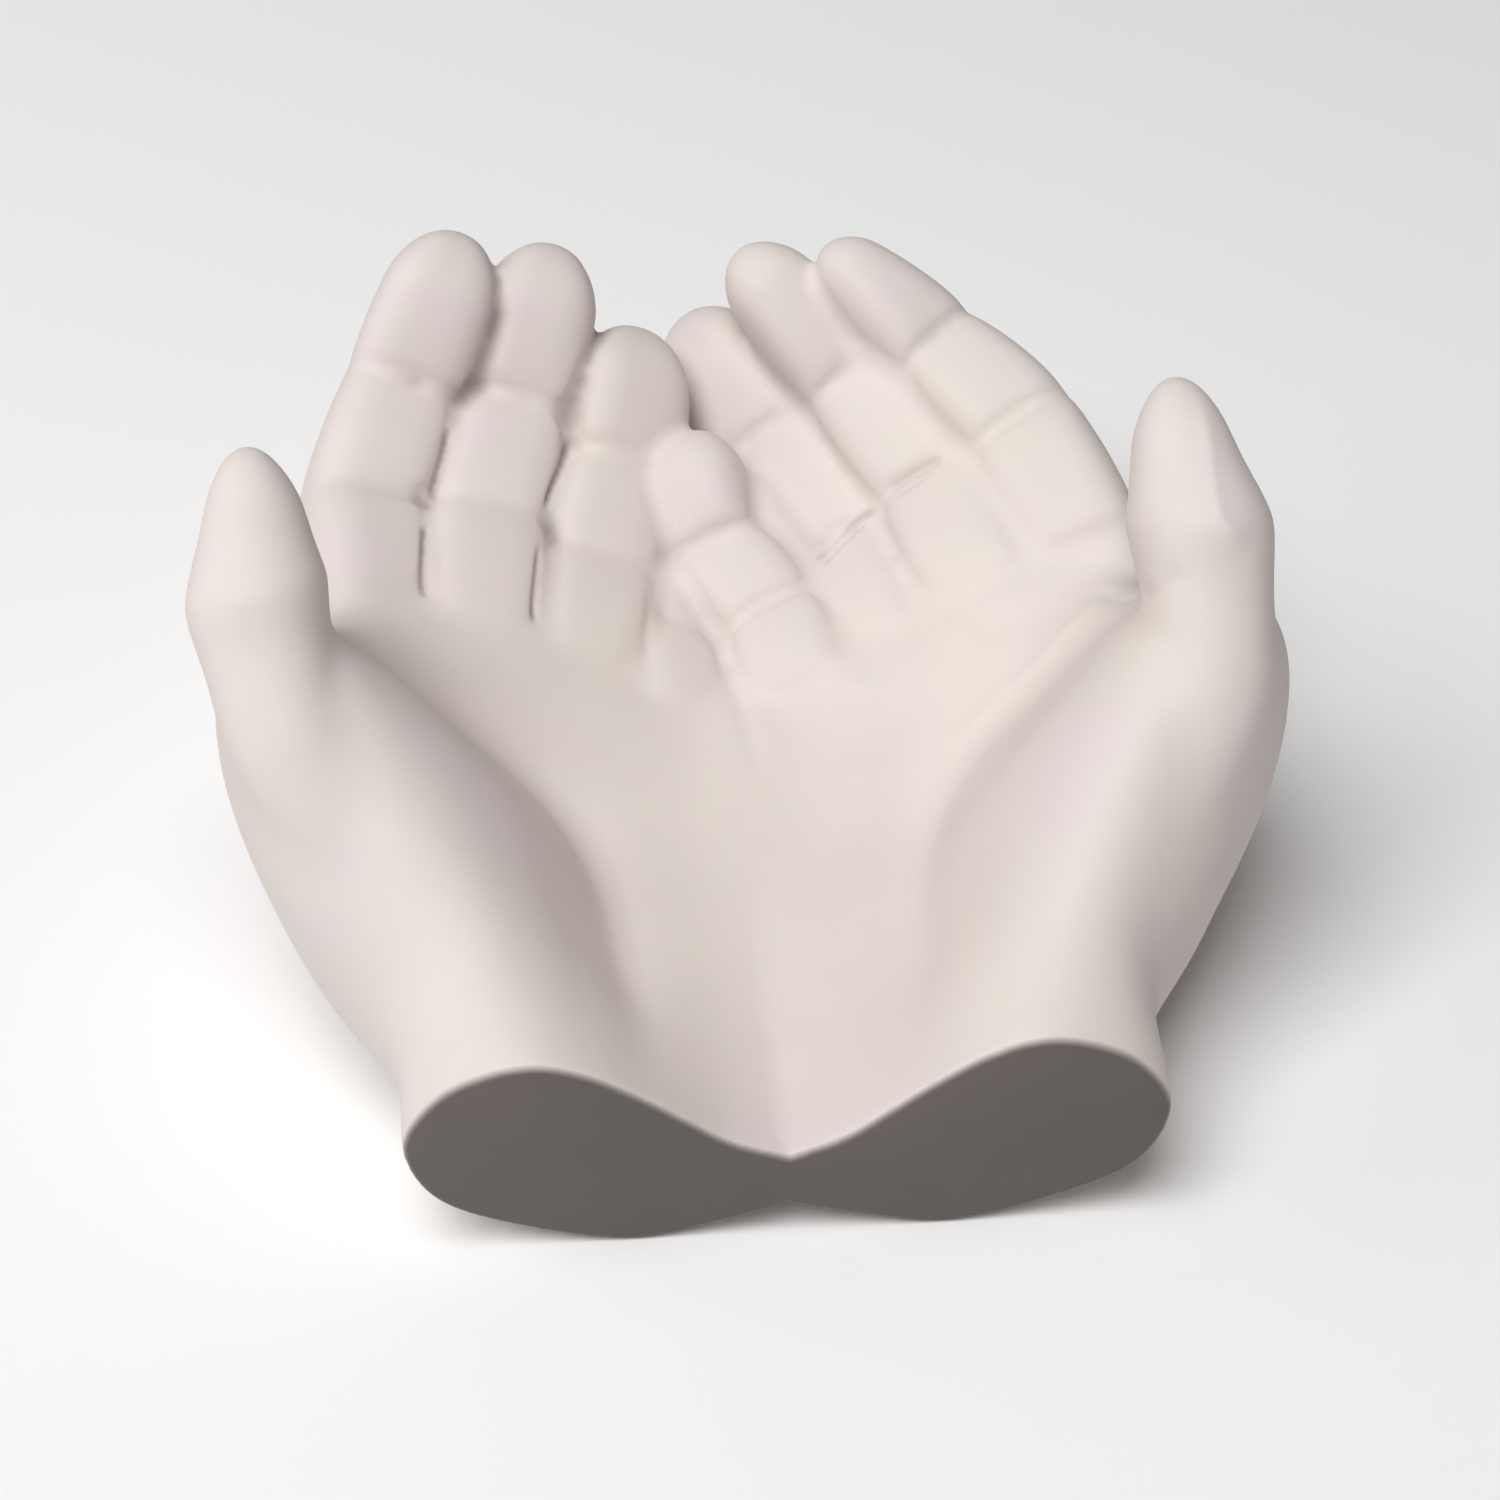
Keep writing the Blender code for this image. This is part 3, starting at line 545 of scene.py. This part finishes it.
def finger(hand, name):
    """One finger with a pad on each bone, raised by a power of a half sine, creases between them pressed in
    by a bell, and its root buried in the palm."""
    middles, _ = finger_middles(hand, name)
    roll = math.radians(FINGER_POSES[hand, name][2])
    facing = np.array((-SIDES[hand] * math.sin(roll), 0, math.cos(roll)))
    root = middles[0] - (middles[1] - middles[0]) * ROOT_REACH - (0, 0, ROOT_SINK)
    path, distances = rounded_path(np.vstack([root, middles]), KNUCKLE_BEND, FINGER_STEPS)
    creases = places_on(path, distances, middles)
    half_widths = np.interp(distances, creases, HALF_WIDTHS[hand, name])
    half_widths *= np.interp(distances, (0, creases[0]), (ROOT_NARROWING, 1))
    fronts = half_widths * FINGER_FLATNESS
    backs = half_widths * FINGER_FLATNESS
    for bone in range(3):
        length = creases[bone + 1] - creases[bone]
        share = np.clip((distances - creases[bone]) / length, 0, 1)
        swell = np.sin(math.pi * share ** (LAST_PAD_LEAN if bone == 2 else 1))
        fronts = fronts + PAD_RISES[bone] * swell**PAD_ROUNDNESS
        half_widths = half_widths + SIDE_RISE * PAD_RISES[bone] * swell
        dip = np.exp(-(((distances - creases[bone]) / CREASE_HALF_WIDTH) ** 2))
        fronts = fronts - CREASE_DEPTHS[hand] * dip
    squareness = np.interp(distances, creases[2:], (FINGER_SQUARENESS, TIP_SQUARENESS[hand]))
    rounding = end_rounding(distances, HALF_WIDTHS[hand, name][3] * TIP_REACH, TIP_ROUNDNESS)
    sizes = (size * rounding for size in (half_widths, fronts, backs))
    return sweep(f"{hand}_{name}", path, facing, *sizes, squareness)


def web(hand, one, other):
    """Filling deep in the groove between two neighbouring fingers, up to where they part."""
    first, first_up = finger_middles(hand, one)
    second, second_up = finger_middles(hand, other)
    middles = (first + second) / 2 + (first_up + second_up) / 2 * WEB_RISE[hand]
    reach = LITTLE_WEB_REACH if other == "little" else WEB_REACH[hand]
    middles[-1] = middles[-2] + (middles[-1] - middles[-2]) * reach
    middles[-1] -= (first_up[-1] + second_up[-1]) / 2 * WEB_TIP_SINK[hand]
    root = middles[0] - (middles[1] - middles[0]) * WEB_ROOT_REACH
    path, distances = rounded_path(np.vstack([root, middles]), KNUCKLE_BEND, WEB_STEPS)
    across = (second - first) / np.linalg.norm(second - first, axis=1)[:, None]
    facing = -np.cross(across.mean(0), (0, 1, 0))
    rounding = end_rounding(distances, WEB_TIP_ROUNDING, 2)
    half_widths = WEB_HALF_WIDTH * rounding
    halves = WEB_HALF_THICKNESS * rounding
    return sweep(f"{hand}_web", path, facing, half_widths, halves, halves, 2, around=WEB_POINTS)


def thumb(hand):
    """One thumb, from inside the heel of the hand out through the ball of the thumb to its tip."""
    root, bones = THUMB_POSES[hand]
    joints = joints_of(hand, root, bones)
    path, distances = rounded_path(joints, THUMB_BEND, THUMB_STEPS)
    places = places_on(path, distances, joints)
    half_widths = np.interp(distances, places, THUMB_HALF_WIDTHS)
    half_widths += THUMB_JOINT_RISE * np.exp(-(((distances - places[3]) / THUMB_JOINT_SPREAD) ** 2))
    share = np.clip((distances - places[3]) / (places[4] - places[3]), 0, 1)
    pad = THUMB_PAD_RISE * np.sin(math.pi * share**THUMB_PAD_LEAN) ** THUMB_PAD_ROUNDNESS
    start = np.clip(1 - distances / THUMB_ROOT_ROUNDING, 0, 1)
    rounding = end_rounding(distances, THUMB_TIP_REACH, THUMB_TIP_ROUNDNESS)
    rounding *= np.sqrt(np.maximum(1 - start**2, END_FLOOR))
    fronts = (half_widths * THUMB_FLATNESS + pad) * rounding
    backs = half_widths * THUMB_FLATNESS * rounding
    facing = np.array(THUMB_PAD_FACING) * (SIDES[hand], 1, 1)
    return sweep(f"{hand}_thumb", path, facing, half_widths * rounding, fronts, backs, THUMB_SQUARENESS)


def bake(obj):
    """Turns the object's modifiers into its mesh."""
    graph = bpy.context.evaluated_depsgraph_get()
    mesh = bpy.data.meshes.new_from_object(obj.evaluated_get(graph))
    obj.modifiers.clear()
    obj.data = mesh


def fuse(name, pieces, cell):
    """Joins overlapping closed pieces into one skin of cells of that size."""
    bpy.ops.object.select_all(action="DESELECT")
    for piece in pieces:
        piece.select_set(True)
    bpy.context.view_layer.objects.active = pieces[0]
    bpy.ops.object.join()
    obj = bpy.context.view_layer.objects.active
    obj.name = name
    remesh = obj.modifiers.new("One skin", "REMESH")
    remesh.mode = "VOXEL"
    remesh.voxel_size = cell
    bake(obj)
    return obj


def smooth_by(obj, label, shares, passes):
    """Smooths the skin passes times, each vertex by its share."""
    shares = np.round(shares * SHARE_STEPS) / SHARE_STEPS
    group = obj.vertex_groups.new(name=label)
    for share in np.unique(shares):
        group.add(np.flatnonzero(shares == share).tolist(), float(share), "REPLACE")
    smooth = obj.modifiers.new(label, "SMOOTH")
    smooth.factor = SMOOTH_STEP
    smooth.iterations = passes
    smooth.vertex_group = label


def soften(obj, label, softness, passes):
    """Smooths the skin, each vertex by the share that softness gives for its place."""
    places = np.empty(len(obj.data.vertices) * 3, np.float32)
    obj.data.vertices.foreach_get("co", places)
    out, forward, up = places.reshape(-1, 3).T
    smooth_by(obj, label, softness(np.abs(out), forward, up), passes)


def palm_softness(out, forward, up):
    """Full, but little at the rim of the wrist cut, on the thumb tips and in the seam near the wrists."""
    tips = 1 - KEPT_CRISP * ramp(up, *TIPS_BAND)
    seam = 1 - KEPT_CRISP * (1 - ramp(out, *SEAM_BAND)) * (1 - ramp(forward, *SEAM_LENGTH))
    return ramp(forward, *RIM_BAND) * tips * seam


def thumb_root_softness(out, forward, up):
    """Only where each thumb grows out of its ball."""
    band = ramp(up, *THUMB_ROOT_START) * (1 - ramp(up, *THUMB_ROOT_STOP))
    return band * ramp(out, *THUMB_ROOT_OUT) * ramp(forward, *THUMB_ROOT_FORWARD)


def finger_softness(out, forward, up):
    """Light over the fingers, full at their feet, none on the wrist cut."""
    feet = ramp(forward, *FEET_START) * (1 - ramp(forward, *FEET_STOP))
    return (FINGER_SHARE + (1 - FINGER_SHARE) * feet) * ramp(forward, *CUT_BAND)


def eye_frame():
    """The eye of the photograph, and unit vectors along its view, to the right and up."""
    level = math.cos(ELEVATION)
    along = np.array((-math.sin(AZIMUTH) * level, math.cos(AZIMUTH) * level, -math.sin(ELEVATION)))
    right = np.array((math.cos(AZIMUTH), math.sin(AZIMUTH), 0))
    return LOOKS_AT - along * DISTANCE, along, right, np.cross(right, along)


def rays_of(pixels):
    """The eye, once for each point of a smooth line through pixels of the photograph, and the ways out to
    those points."""
    eye, along, right, up = eye_frame()
    line = through(pixels, np.linspace(0, len(pixels) - 1, LINE_STEPS * len(pixels))) - PICTURE / 2
    ways = along * PICTURE * LENS / SENSOR + line[:, :1] * right - line[:, 1:] * up
    return np.tile(eye, (len(ways), 1)), ways / np.linalg.norm(ways, axis=1)[:, None]


def line_on_skin(tree, starts, ways):
    """The stretches of line that the rays from starts draw where they first meet the skin, parted at each
    jump."""
    hits = [tree.ray_cast(Vector(start), Vector(way))[0] for start, way in zip(starts, ways)]
    points = np.array([hit for hit in hits if hit is not None])
    steps = np.linalg.norm(np.diff(points, axis=0), axis=1)
    jumps = np.flatnonzero(steps > LINE_JUMP)
    stretches = np.split(points, jumps + 1)
    return [stretch for stretch in stretches if len(stretch) >= FEWEST_POINTS]


def line_effect(points, line, half_width, power=2):
    """Share of a line at each point: a bell across the line, or with power 1 a sharp crest, that fades out
    towards its two ends."""
    start = line[:-1, None]
    step = line[1:, None] - start
    share = ((points - start) * step).sum(-1) / np.maximum((step**2).sum(-1), TINY)
    share = np.clip(share, 0, 1)
    away = np.linalg.norm(points - start - share[..., None] * step, axis=-1)
    nearest = away.argmin(0)
    column = np.arange(len(points))
    place = (nearest + share[nearest, column]) / (len(line) - 1)
    fade = ramp(place, 0, LINE_TAPER) * (1 - ramp(place, 1 - LINE_TAPER, 1))
    return np.exp(-((away.min(0) / half_width) ** power)) * fade


def cast_on_skin(tree, table):
    """The lines of a table as they lie on the skin: points, half width, and depth or height, in metres."""
    found = []
    for _, depth, half_width, pixels in table:
        for line in line_on_skin(tree, *rays_of(pixels)):
            found.append((line, half_width * MM, depth * MM))
    return found


def pressed_lines(obj):
    """The lines that are pressed into the skin, and the ridges that stand on it."""
    shape = bmesh.new()
    shape.from_mesh(obj.data)
    tree = BVHTree.FromBMesh(shape)
    shape.free()
    return cast_on_skin(tree, PALM_LINES + FINGER_LINES), cast_on_skin(tree, RIDGES)


def vertices_of(mesh):
    """Vertex places and normals of a mesh, as arrays."""
    places = np.empty(len(mesh.vertices) * 3, np.float32)
    normals = np.empty(len(mesh.vertices) * 3, np.float32)
    mesh.vertices.foreach_get("co", places)
    mesh.vertices.foreach_get("normal", normals)
    return places.reshape(-1, 3).astype(float), normals.reshape(-1, 3).astype(float)


def near_line(places, line, reach):
    """Numbers of the places in the line's box, grown by reach."""
    low = line.min(0) - reach
    high = line.max(0) + reach
    return np.flatnonzero(((places > low) & (places < high)).all(1))


def refine(obj, lines):
    """Splits the faces along the narrow lines in four, so that the creases come out crisp."""
    places, _ = vertices_of(obj.data)
    wanted = np.zeros(len(places), bool)
    for line, half_width, _ in lines:
        if half_width > FINE_LINE:
            continue
        chosen = near_line(places, line, SPLIT_REACH * half_width)
        if len(chosen):
            effect = line_effect(places[chosen], line, SPLIT_WIDTH * half_width)
            wanted[chosen[effect > SPLIT_SHARE]] = True
    shape = bmesh.new()
    shape.from_mesh(obj.data)
    edges = [edge for edge in shape.edges if wanted[edge.verts[0].index] and wanted[edge.verts[1].index]]
    bmesh.ops.subdivide_edges(shape, edges=edges, cuts=1, use_grid_fill=True)
    shape.to_mesh(obj.data)
    shape.free()


def edges_of(mesh):
    """The two ends of every edge, given both ways round, and how many edges each vertex has."""
    ends = np.empty(len(mesh.edges) * 2, np.int32)
    mesh.edges.foreach_get("vertices", ends)
    ends = ends.reshape(-1, 2)
    here, there = np.concatenate([ends, ends[:, ::-1]]).T
    return here, there, np.maximum(np.bincount(here, minlength=len(mesh.vertices)), 1)


def averaged(values, edges, passes):
    """The value at each vertex, averaged with that of its neighbours passes times."""
    here, there, count = edges
    for _ in range(passes):
        near = np.bincount(here, weights=values[there], minlength=len(count)) / count
        values = (values + near) / 2
    return values


def hollowness(mesh, passes):
    """One over the radius of the hollow at each vertex: four times how far its neighbours lie above it, over
    the squared distance to them, averaged passes times."""
    places, normals = vertices_of(mesh)
    edges = edges_of(mesh)
    here, there, count = edges
    steps = places[there] - places[here]
    rise = np.bincount(here, weights=(steps * normals[here]).sum(1), minlength=len(places)) / count
    square = np.bincount(here, weights=(steps**2).sum(1), minlength=len(places)) / count
    hollow = np.clip(4 * rise / np.maximum(square, TINY), -MOST_HOLLOW, MOST_HOLLOW)
    return averaged(hollow, edges, passes)


def even_grooves(obj, cell, strokes):
    """Smooths the skin along the bottom of its grooves, which takes out the steps of the cells."""
    hollow = hollowness(obj.data, int((HOLLOW_REACH / cell) ** 2))
    smooth_by(obj, "Grooves", ramp(hollow, *GROOVE_BAND), int(strokes * (DRAWN_CELL / cell) ** 2))
    bake(obj)
    obj.vertex_groups.clear()


def deep_share(across):
    """Share of their full depth and painted shade that the grooves have at a place across the bowl."""
    return 1 - (1 - SHALLOW_SHARE) * ramp(across, *SHALLOW_FROM)


def deepen(obj, cell, strength):
    """Sinks the grooves and creases that the skin already has, each vertex by how hollow the skin is there
    and along the mean normal of the groove."""
    places, normals = vertices_of(obj.data)
    edges = edges_of(obj.data)
    passes = int((HOLLOW_REACH / cell) ** 2)
    hollow = hollowness(obj.data, passes)
    depths = HOLLOW_DEPTH * strength * deep_share(places[:, 0])
    sink = averaged(depths * ramp(hollow, *HOLLOW_BAND), edges, passes)
    ways = np.stack([averaged(column, edges, passes) for column in normals.T], 1)
    ways /= np.linalg.norm(ways, axis=1)[:, None]
    obj.data.vertices.foreach_set("co", (places - ways * sink[:, None]).astype(np.float32).ravel())
    obj.data.update()


def press(obj, lines, ridges, cell, strength):
    """Moves each vertex along its normal by the sum of the lines' depths and the ridges' heights there, and
    stores the painted shade of the hollows and the fine lines in an attribute.
    """
    places, normals = vertices_of(obj.data)
    depths = np.zeros(len(places))
    marks = np.zeros(len(places))
    for line, half_width, depth in lines:
        chosen = near_line(places, line, LINE_REACH * half_width)
        if not len(chosen):
            continue
        effect = line_effect(places[chosen], line, half_width)
        depths[chosen] += depth * strength * effect
        # the fine lines get painted shade by their depth
        if half_width <= FINE_LINE:
            marks[chosen] = np.maximum(marks[chosen], effect * depth / FULL_MARK)
    for line, width, height in ridges:
        chosen = near_line(places, line, RIDGE_REACH * width)
        if len(chosen):
            depths[chosen] -= height * strength * line_effect(places[chosen], line, width, power=1)
    moved = places - normals * depths[:, None]
    obj.data.vertices.foreach_set("co", moved.astype(np.float32).ravel())
    obj.data.update()
    passes = int((HOLLOW_REACH / cell) ** 2)
    hollow = hollowness(obj.data, passes)
    # painted shade: darker where the skin is hollow, less on the right hand and the little fingers
    darkness = averaged(deep_share(moved[:, 0]) * ramp(hollow, *CREASE_SHADE_BAND), edges_of(obj.data), passes // 2)
    crease_shade = obj.data.attributes.new("crease_shade", "FLOAT", "POINT")
    crease_shade.data.foreach_set("value", np.maximum(darkness, marks).astype(np.float32))
    plain = np.flatnonzero((np.abs(depths) < KEPT_DEPTH) & (hollow < HOLLOW_BAND[1]))
    obj.vertex_groups.new(name="Plain skin").add(plain.tolist(), 1.0, "REPLACE")


def thin_out(obj):
    """Brings the skin down to its triangle budget, mostly where nothing is pressed into it."""
    triangles = sum(len(face.vertices) - 2 for face in obj.data.polygons)
    if triangles <= MOST_TRIANGLES:
        return
    decimate = obj.modifiers.new("Fewer triangles", "DECIMATE")
    decimate.ratio = MOST_TRIANGLES / triangles
    decimate.vertex_group = "Plain skin"
    decimate.vertex_group_factor = 1


def cut_flat(obj, low, high):
    """Cuts away the box from low to high, which leaves a true flat on the skin."""
    bpy.ops.mesh.primitive_cube_add(size=1)
    cutter = bpy.context.object
    cutter.location = (high + low) / 2
    cutter.scale = high - low
    cut = obj.modifiers.new("Flat", "BOOLEAN")
    cut.operation = "DIFFERENCE"
    cut.solver = "EXACT"
    cut.object = cutter
    bpy.context.view_layer.update()
    bake(obj)
    bpy.data.objects.remove(cutter)


def drop_bubbles(obj):
    """Deletes every loose bit of skin but the largest, such as a bubble left inside where fingers meet."""
    shape = bmesh.new()
    shape.from_mesh(obj.data)
    unseen = set(shape.verts)
    bits = []
    while unseen:
        bit = [unseen.pop()]
        for vertex in bit:  # the list grows as it is walked
            for edge in vertex.link_edges:
                other = edge.other_vert(vertex)
                if other in unseen:
                    unseen.remove(other)
                    bit.append(other)
        bits.append(bit)
    bits.sort(key=len)
    for bit in bits[:-1]:
        bmesh.ops.delete(shape, geom=bit, context="VERTS")
    shape.to_mesh(obj.data)
    shape.free()


def on_cad_place(obj):
    """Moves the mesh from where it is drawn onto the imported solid's place."""
    places, _ = vertices_of(obj.data)
    middle = (places[:, 0].min() + places[:, 0].max()) / 2
    shift = np.array(
        (
            (CAD_LOW[0] + CAD_HIGH[0]) / 2 - middle,
            CAD_LOW[1] - WRIST_CUT,
            CAD_LOW[2] - places[:, 2].min() - STAND_DEPTH,
        )
    )
    obj.data.vertices.foreach_set("co", (places + shift).astype(np.float32).ravel())
    obj.data.update()


def node_of(tree, kind, name, **settings):
    """A named node with its sockets set: sizes are given by the socket's name, with spaces as underscores."""
    node = tree.nodes.new(kind)
    node.name = name
    node.label = name
    for socket, value in settings.items():
        node.inputs[socket.replace("_", " ")].default_value = value
    return node


def plaster(sizes):
    """Matte cast plaster: soft patches of warmer and cooler white, painted shade in the creases, painted
    shade on the flat of the wrist cuts and a fine sanded grain."""
    material = bpy.data.materials.new("cast_plaster")
    material.use_nodes = True
    tree = material.node_tree
    link = tree.links.new
    shader = tree.nodes["Principled BSDF"]
    shader.inputs["Metallic"].default_value = 0
    place = tree.nodes.new("ShaderNodeTexCoord")
    patches = node_of(
        tree, "ShaderNodeTexNoise", "Patches", Scale=1 / sizes.patch_size, Detail=3.0, Roughness=0.5
    )
    link(place.outputs["Object"], patches.inputs["Vector"])
    low, high = PATCH_BAND
    spread = node_of(tree, "ShaderNodeMapRange", "Patch contrast", From_Min=low, From_Max=high)
    spread.interpolation_type = "SMOOTHSTEP"
    link(patches.outputs["Fac"], spread.inputs["Value"])
    tint = tree.nodes.new("ShaderNodeMix")
    tint.data_type = "RGBA"
    tint.inputs["A"].default_value = (*sizes.colour_warm, 1)
    tint.inputs["B"].default_value = (*sizes.colour_cool, 1)
    link(spread.outputs["Result"], tint.inputs["Factor"])
    # painted shade in the creases, read from the attribute that press writes
    crease_shade = tree.nodes.new("ShaderNodeAttribute")
    crease_shade.attribute_name = "crease_shade"
    crease_shaded = tree.nodes.new("ShaderNodeMix")
    crease_shaded.data_type = "RGBA"
    crease_shaded.inputs["B"].default_value = (*sizes.colour_crease_shade, 1)
    link(crease_shade.outputs["Fac"], crease_shaded.inputs["Factor"])
    link(tint.outputs["Result"], crease_shaded.inputs["A"])
    # painted shade on the flat of the cut wrists, full at the flat and gone a little way in
    split = tree.nodes.new("ShaderNodeSeparateXYZ")
    link(place.outputs["Object"], split.inputs["Vector"])
    full, end = CAD_LOW[1] + np.array(CUT_SHADE_BAND)
    cut_shade = node_of(tree, "ShaderNodeMapRange", "Painted shade on the cut", From_Min=end, From_Max=full)
    link(split.outputs["Y"], cut_shade.inputs["Value"])
    cut_shaded = tree.nodes.new("ShaderNodeMix")
    cut_shaded.data_type = "RGBA"
    cut_shaded.inputs["B"].default_value = (*sizes.colour_cut_shade, 1)
    link(cut_shade.outputs["Result"], cut_shaded.inputs["Factor"])
    link(crease_shaded.outputs["Result"], cut_shaded.inputs["A"])
    link(cut_shaded.outputs["Result"], shader.inputs["Base Color"])
    polish = node_of(tree, "ShaderNodeTexNoise", "Polish", Scale=POLISH_SCALE, Detail=2.0)
    link(place.outputs["Object"], polish.inputs["Vector"])
    smoothest, roughest = sizes.roughness + np.array(POLISH_RANGE)
    rough = node_of(tree, "ShaderNodeMapRange", "Roughness range", To_Min=smoothest, To_Max=roughest)
    link(polish.outputs["Fac"], rough.inputs["Value"])
    link(rough.outputs["Result"], shader.inputs["Roughness"])
    grain = node_of(tree, "ShaderNodeTexNoise", "Grain", Scale=GRAIN_SCALE, Detail=4.0, Roughness=0.6)
    link(place.outputs["Object"], grain.inputs["Vector"])
    bump = node_of(
        tree, "ShaderNodeBump", "Grain bump", Strength=GRAIN_STRENGTH, Distance=sizes.grain_height
    )
    link(grain.outputs["Fac"], bump.inputs["Height"])
    link(bump.outputs["Normal"], shader.inputs["Normal"])
    return material


def softbox(name, place, target, side, power):
    """A square area light at place, turned to target."""
    light = bpy.data.lights.new(name, "AREA")
    light.shape = "SQUARE"
    light.size = side
    light.energy = power
    lamp = bpy.data.objects.new(name, light)
    lamp.location = place
    lamp.rotation_euler = (Vector(place) - Vector(target)).to_track_quat("Z", "Y").to_euler()
    bpy.context.scene.collection.objects.link(lamp)


class BowlPiece:
    """What the operators share: they can be undone and run again with other sizes."""

    bl_options = {"REGISTER", "UNDO"}


class AddCuppedHands(BowlPiece, bpy.types.Operator):
    """Draw the two hands with their creases, fused into one skin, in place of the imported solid"""

    bl_idname = "hand_bowl.cupped_hands"
    bl_label = "Cupped hands"

    def execute(self, context):
        sizes = context.scene.hand_bowl
        cell = sizes.skin_cell
        passes = (DRAWN_CELL / cell) ** 2
        palms = [palm(hand) for hand in SIDES]
        hands = fuse("hands", palms + [thumb(hand) for hand in SIDES], cell)
        soften(hands, "Palm", palm_softness, int(PALM_PASSES * passes))
        soften(hands, "Thumb roots", thumb_root_softness, int(THUMB_ROOT_PASSES * passes))
        bake(hands)
        fingers = [finger(hand, name) for hand, name in FINGER_POSES]
        webs = [web(hand, one, other) for hand in SIDES for one, other in NEIGHBOURS]
        bowl = fuse("cast_hands", [hands] + fingers + webs, cell)
        soften(bowl, "Fingers", finger_softness, int(FINGER_PASSES * passes))
        bake(bowl)
        on_cad_place(bowl)
        even_grooves(bowl, cell, GROOVE_PASSES)
        deepen(bowl, cell, sizes.crease_strength)
        even_grooves(bowl, cell, LAST_PASSES)
        lines, ridges = pressed_lines(bowl)
        refine(bowl, lines)
        press(bowl, lines, ridges, cell, sizes.crease_strength)
        thin_out(bowl)
        bake(bowl)
        far = 2 * PALM_BREADTH
        cut_flat(bowl, np.array((-far, -far, CAD_LOW[2] - far)), np.array((far, far, CAD_LOW[2])))
        cut_flat(bowl, np.array((-far, CAD_LOW[1] - far, -far)), np.array((far, CAD_LOW[1], far)))
        drop_bubbles(bowl)
        bowl.vertex_groups.clear()
        for face in bowl.data.polygons:
            face.use_smooth = True
        bowl.data.set_sharp_from_angle(angle=SMOOTH_ANGLE)
        bowl.data.materials.clear()
        bowl.data.materials.append(plaster(sizes))
        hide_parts("cupped_hands")
        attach(bowl, "root")
        return {"FINISHED"}


class AddStage(BowlPiece, bpy.types.Operator):
    """Set the floor, the lights and the camera at the photograph's angle"""

    bl_idname = "hand_bowl.stage"
    bl_label = "Stage"

    def execute(self, context):
        sizes = context.scene.hand_bowl_stage
        side = sizes.floor_side / 2
        corners = [(-side, -side, 0), (side, -side, 0), (side, side, 0), (-side, side, 0)]
        mesh = bpy.data.meshes.new("floor")
        mesh.from_pydata(corners, [], [(0, 1, 2, 3)])
        floor = bpy.data.objects.new("floor", mesh)
        context.scene.collection.objects.link(floor)
        pale = bpy.data.materials.new("pale_floor")
        pale.use_nodes = True
        shader = pale.node_tree.nodes["Principled BSDF"]
        shader.inputs["Base Color"].default_value = (*sizes.floor_colour, 1)
        shader.inputs["Roughness"].default_value = FLOOR_ROUGHNESS
        mesh.materials.append(pale)
        softbox("key_softbox", KEY_PLACE, KEY_TARGET, KEY_SIDE, sizes.key_power)
        softbox("fill_softbox", FILL_PLACE, FILL_TARGET, FILL_SIDE, sizes.fill_power)
        world = bpy.data.worlds.new("studio")
        world.use_nodes = True
        sky = world.node_tree.nodes["Background"]
        sky.inputs["Color"].default_value = SKY_TINT
        sky.inputs["Strength"].default_value = sizes.sky_strength
        context.scene.world = world
        context.scene.view_settings.view_transform = "Standard"
        eye, along, _, _ = eye_frame()
        lens = bpy.data.cameras.new("photograph")
        lens.lens = LENS
        lens.sensor_width = SENSOR
        lens.clip_start = 0.01
        camera = bpy.data.objects.new("photograph", lens)
        camera.location = eye
        camera.rotation_euler = Vector(along).to_track_quat("-Z", "Y").to_euler()
        context.scene.collection.objects.link(camera)
        context.scene.camera = camera
        return {"FINISHED"}


class HandBowlPanel(bpy.types.Panel):
    """The bowl's sizes and buttons in the sidebar."""

    bl_idname = "VIEW3D_PT_hand_bowl"
    bl_label = "Hand-shaped bowl"
    bl_space_type = "VIEW_3D"
    bl_region_type = "UI"
    bl_category = "Hand Bowl"

    def draw(self, context):
        bowl = context.scene.hand_bowl
        stage = context.scene.hand_bowl_stage
        for operator, sizes in ((AddCuppedHands, bowl), (AddStage, stage)):
            column = self.layout.column(align=True)
            for name in sizes.__annotations__:
                column.prop(sizes, name)
            column.operator(operator.bl_idname)


CLASSES = (BowlSizes, StageSizes, AddCuppedHands, AddStage, HandBowlPanel)


def register():
    for part in CLASSES:
        bpy.utils.register_class(part)
    bpy.types.Scene.hand_bowl = PointerProperty(type=BowlSizes)
    bpy.types.Scene.hand_bowl_stage = PointerProperty(type=StageSizes)


def unregister():
    del bpy.types.Scene.hand_bowl_stage
    del bpy.types.Scene.hand_bowl
    for part in reversed(CLASSES):
        bpy.utils.unregister_class(part)


def main():
    register()
    bpy.ops.hand_bowl.cupped_hands()
    bpy.ops.hand_bowl.stage()


if __name__ == "__main__":
    main()
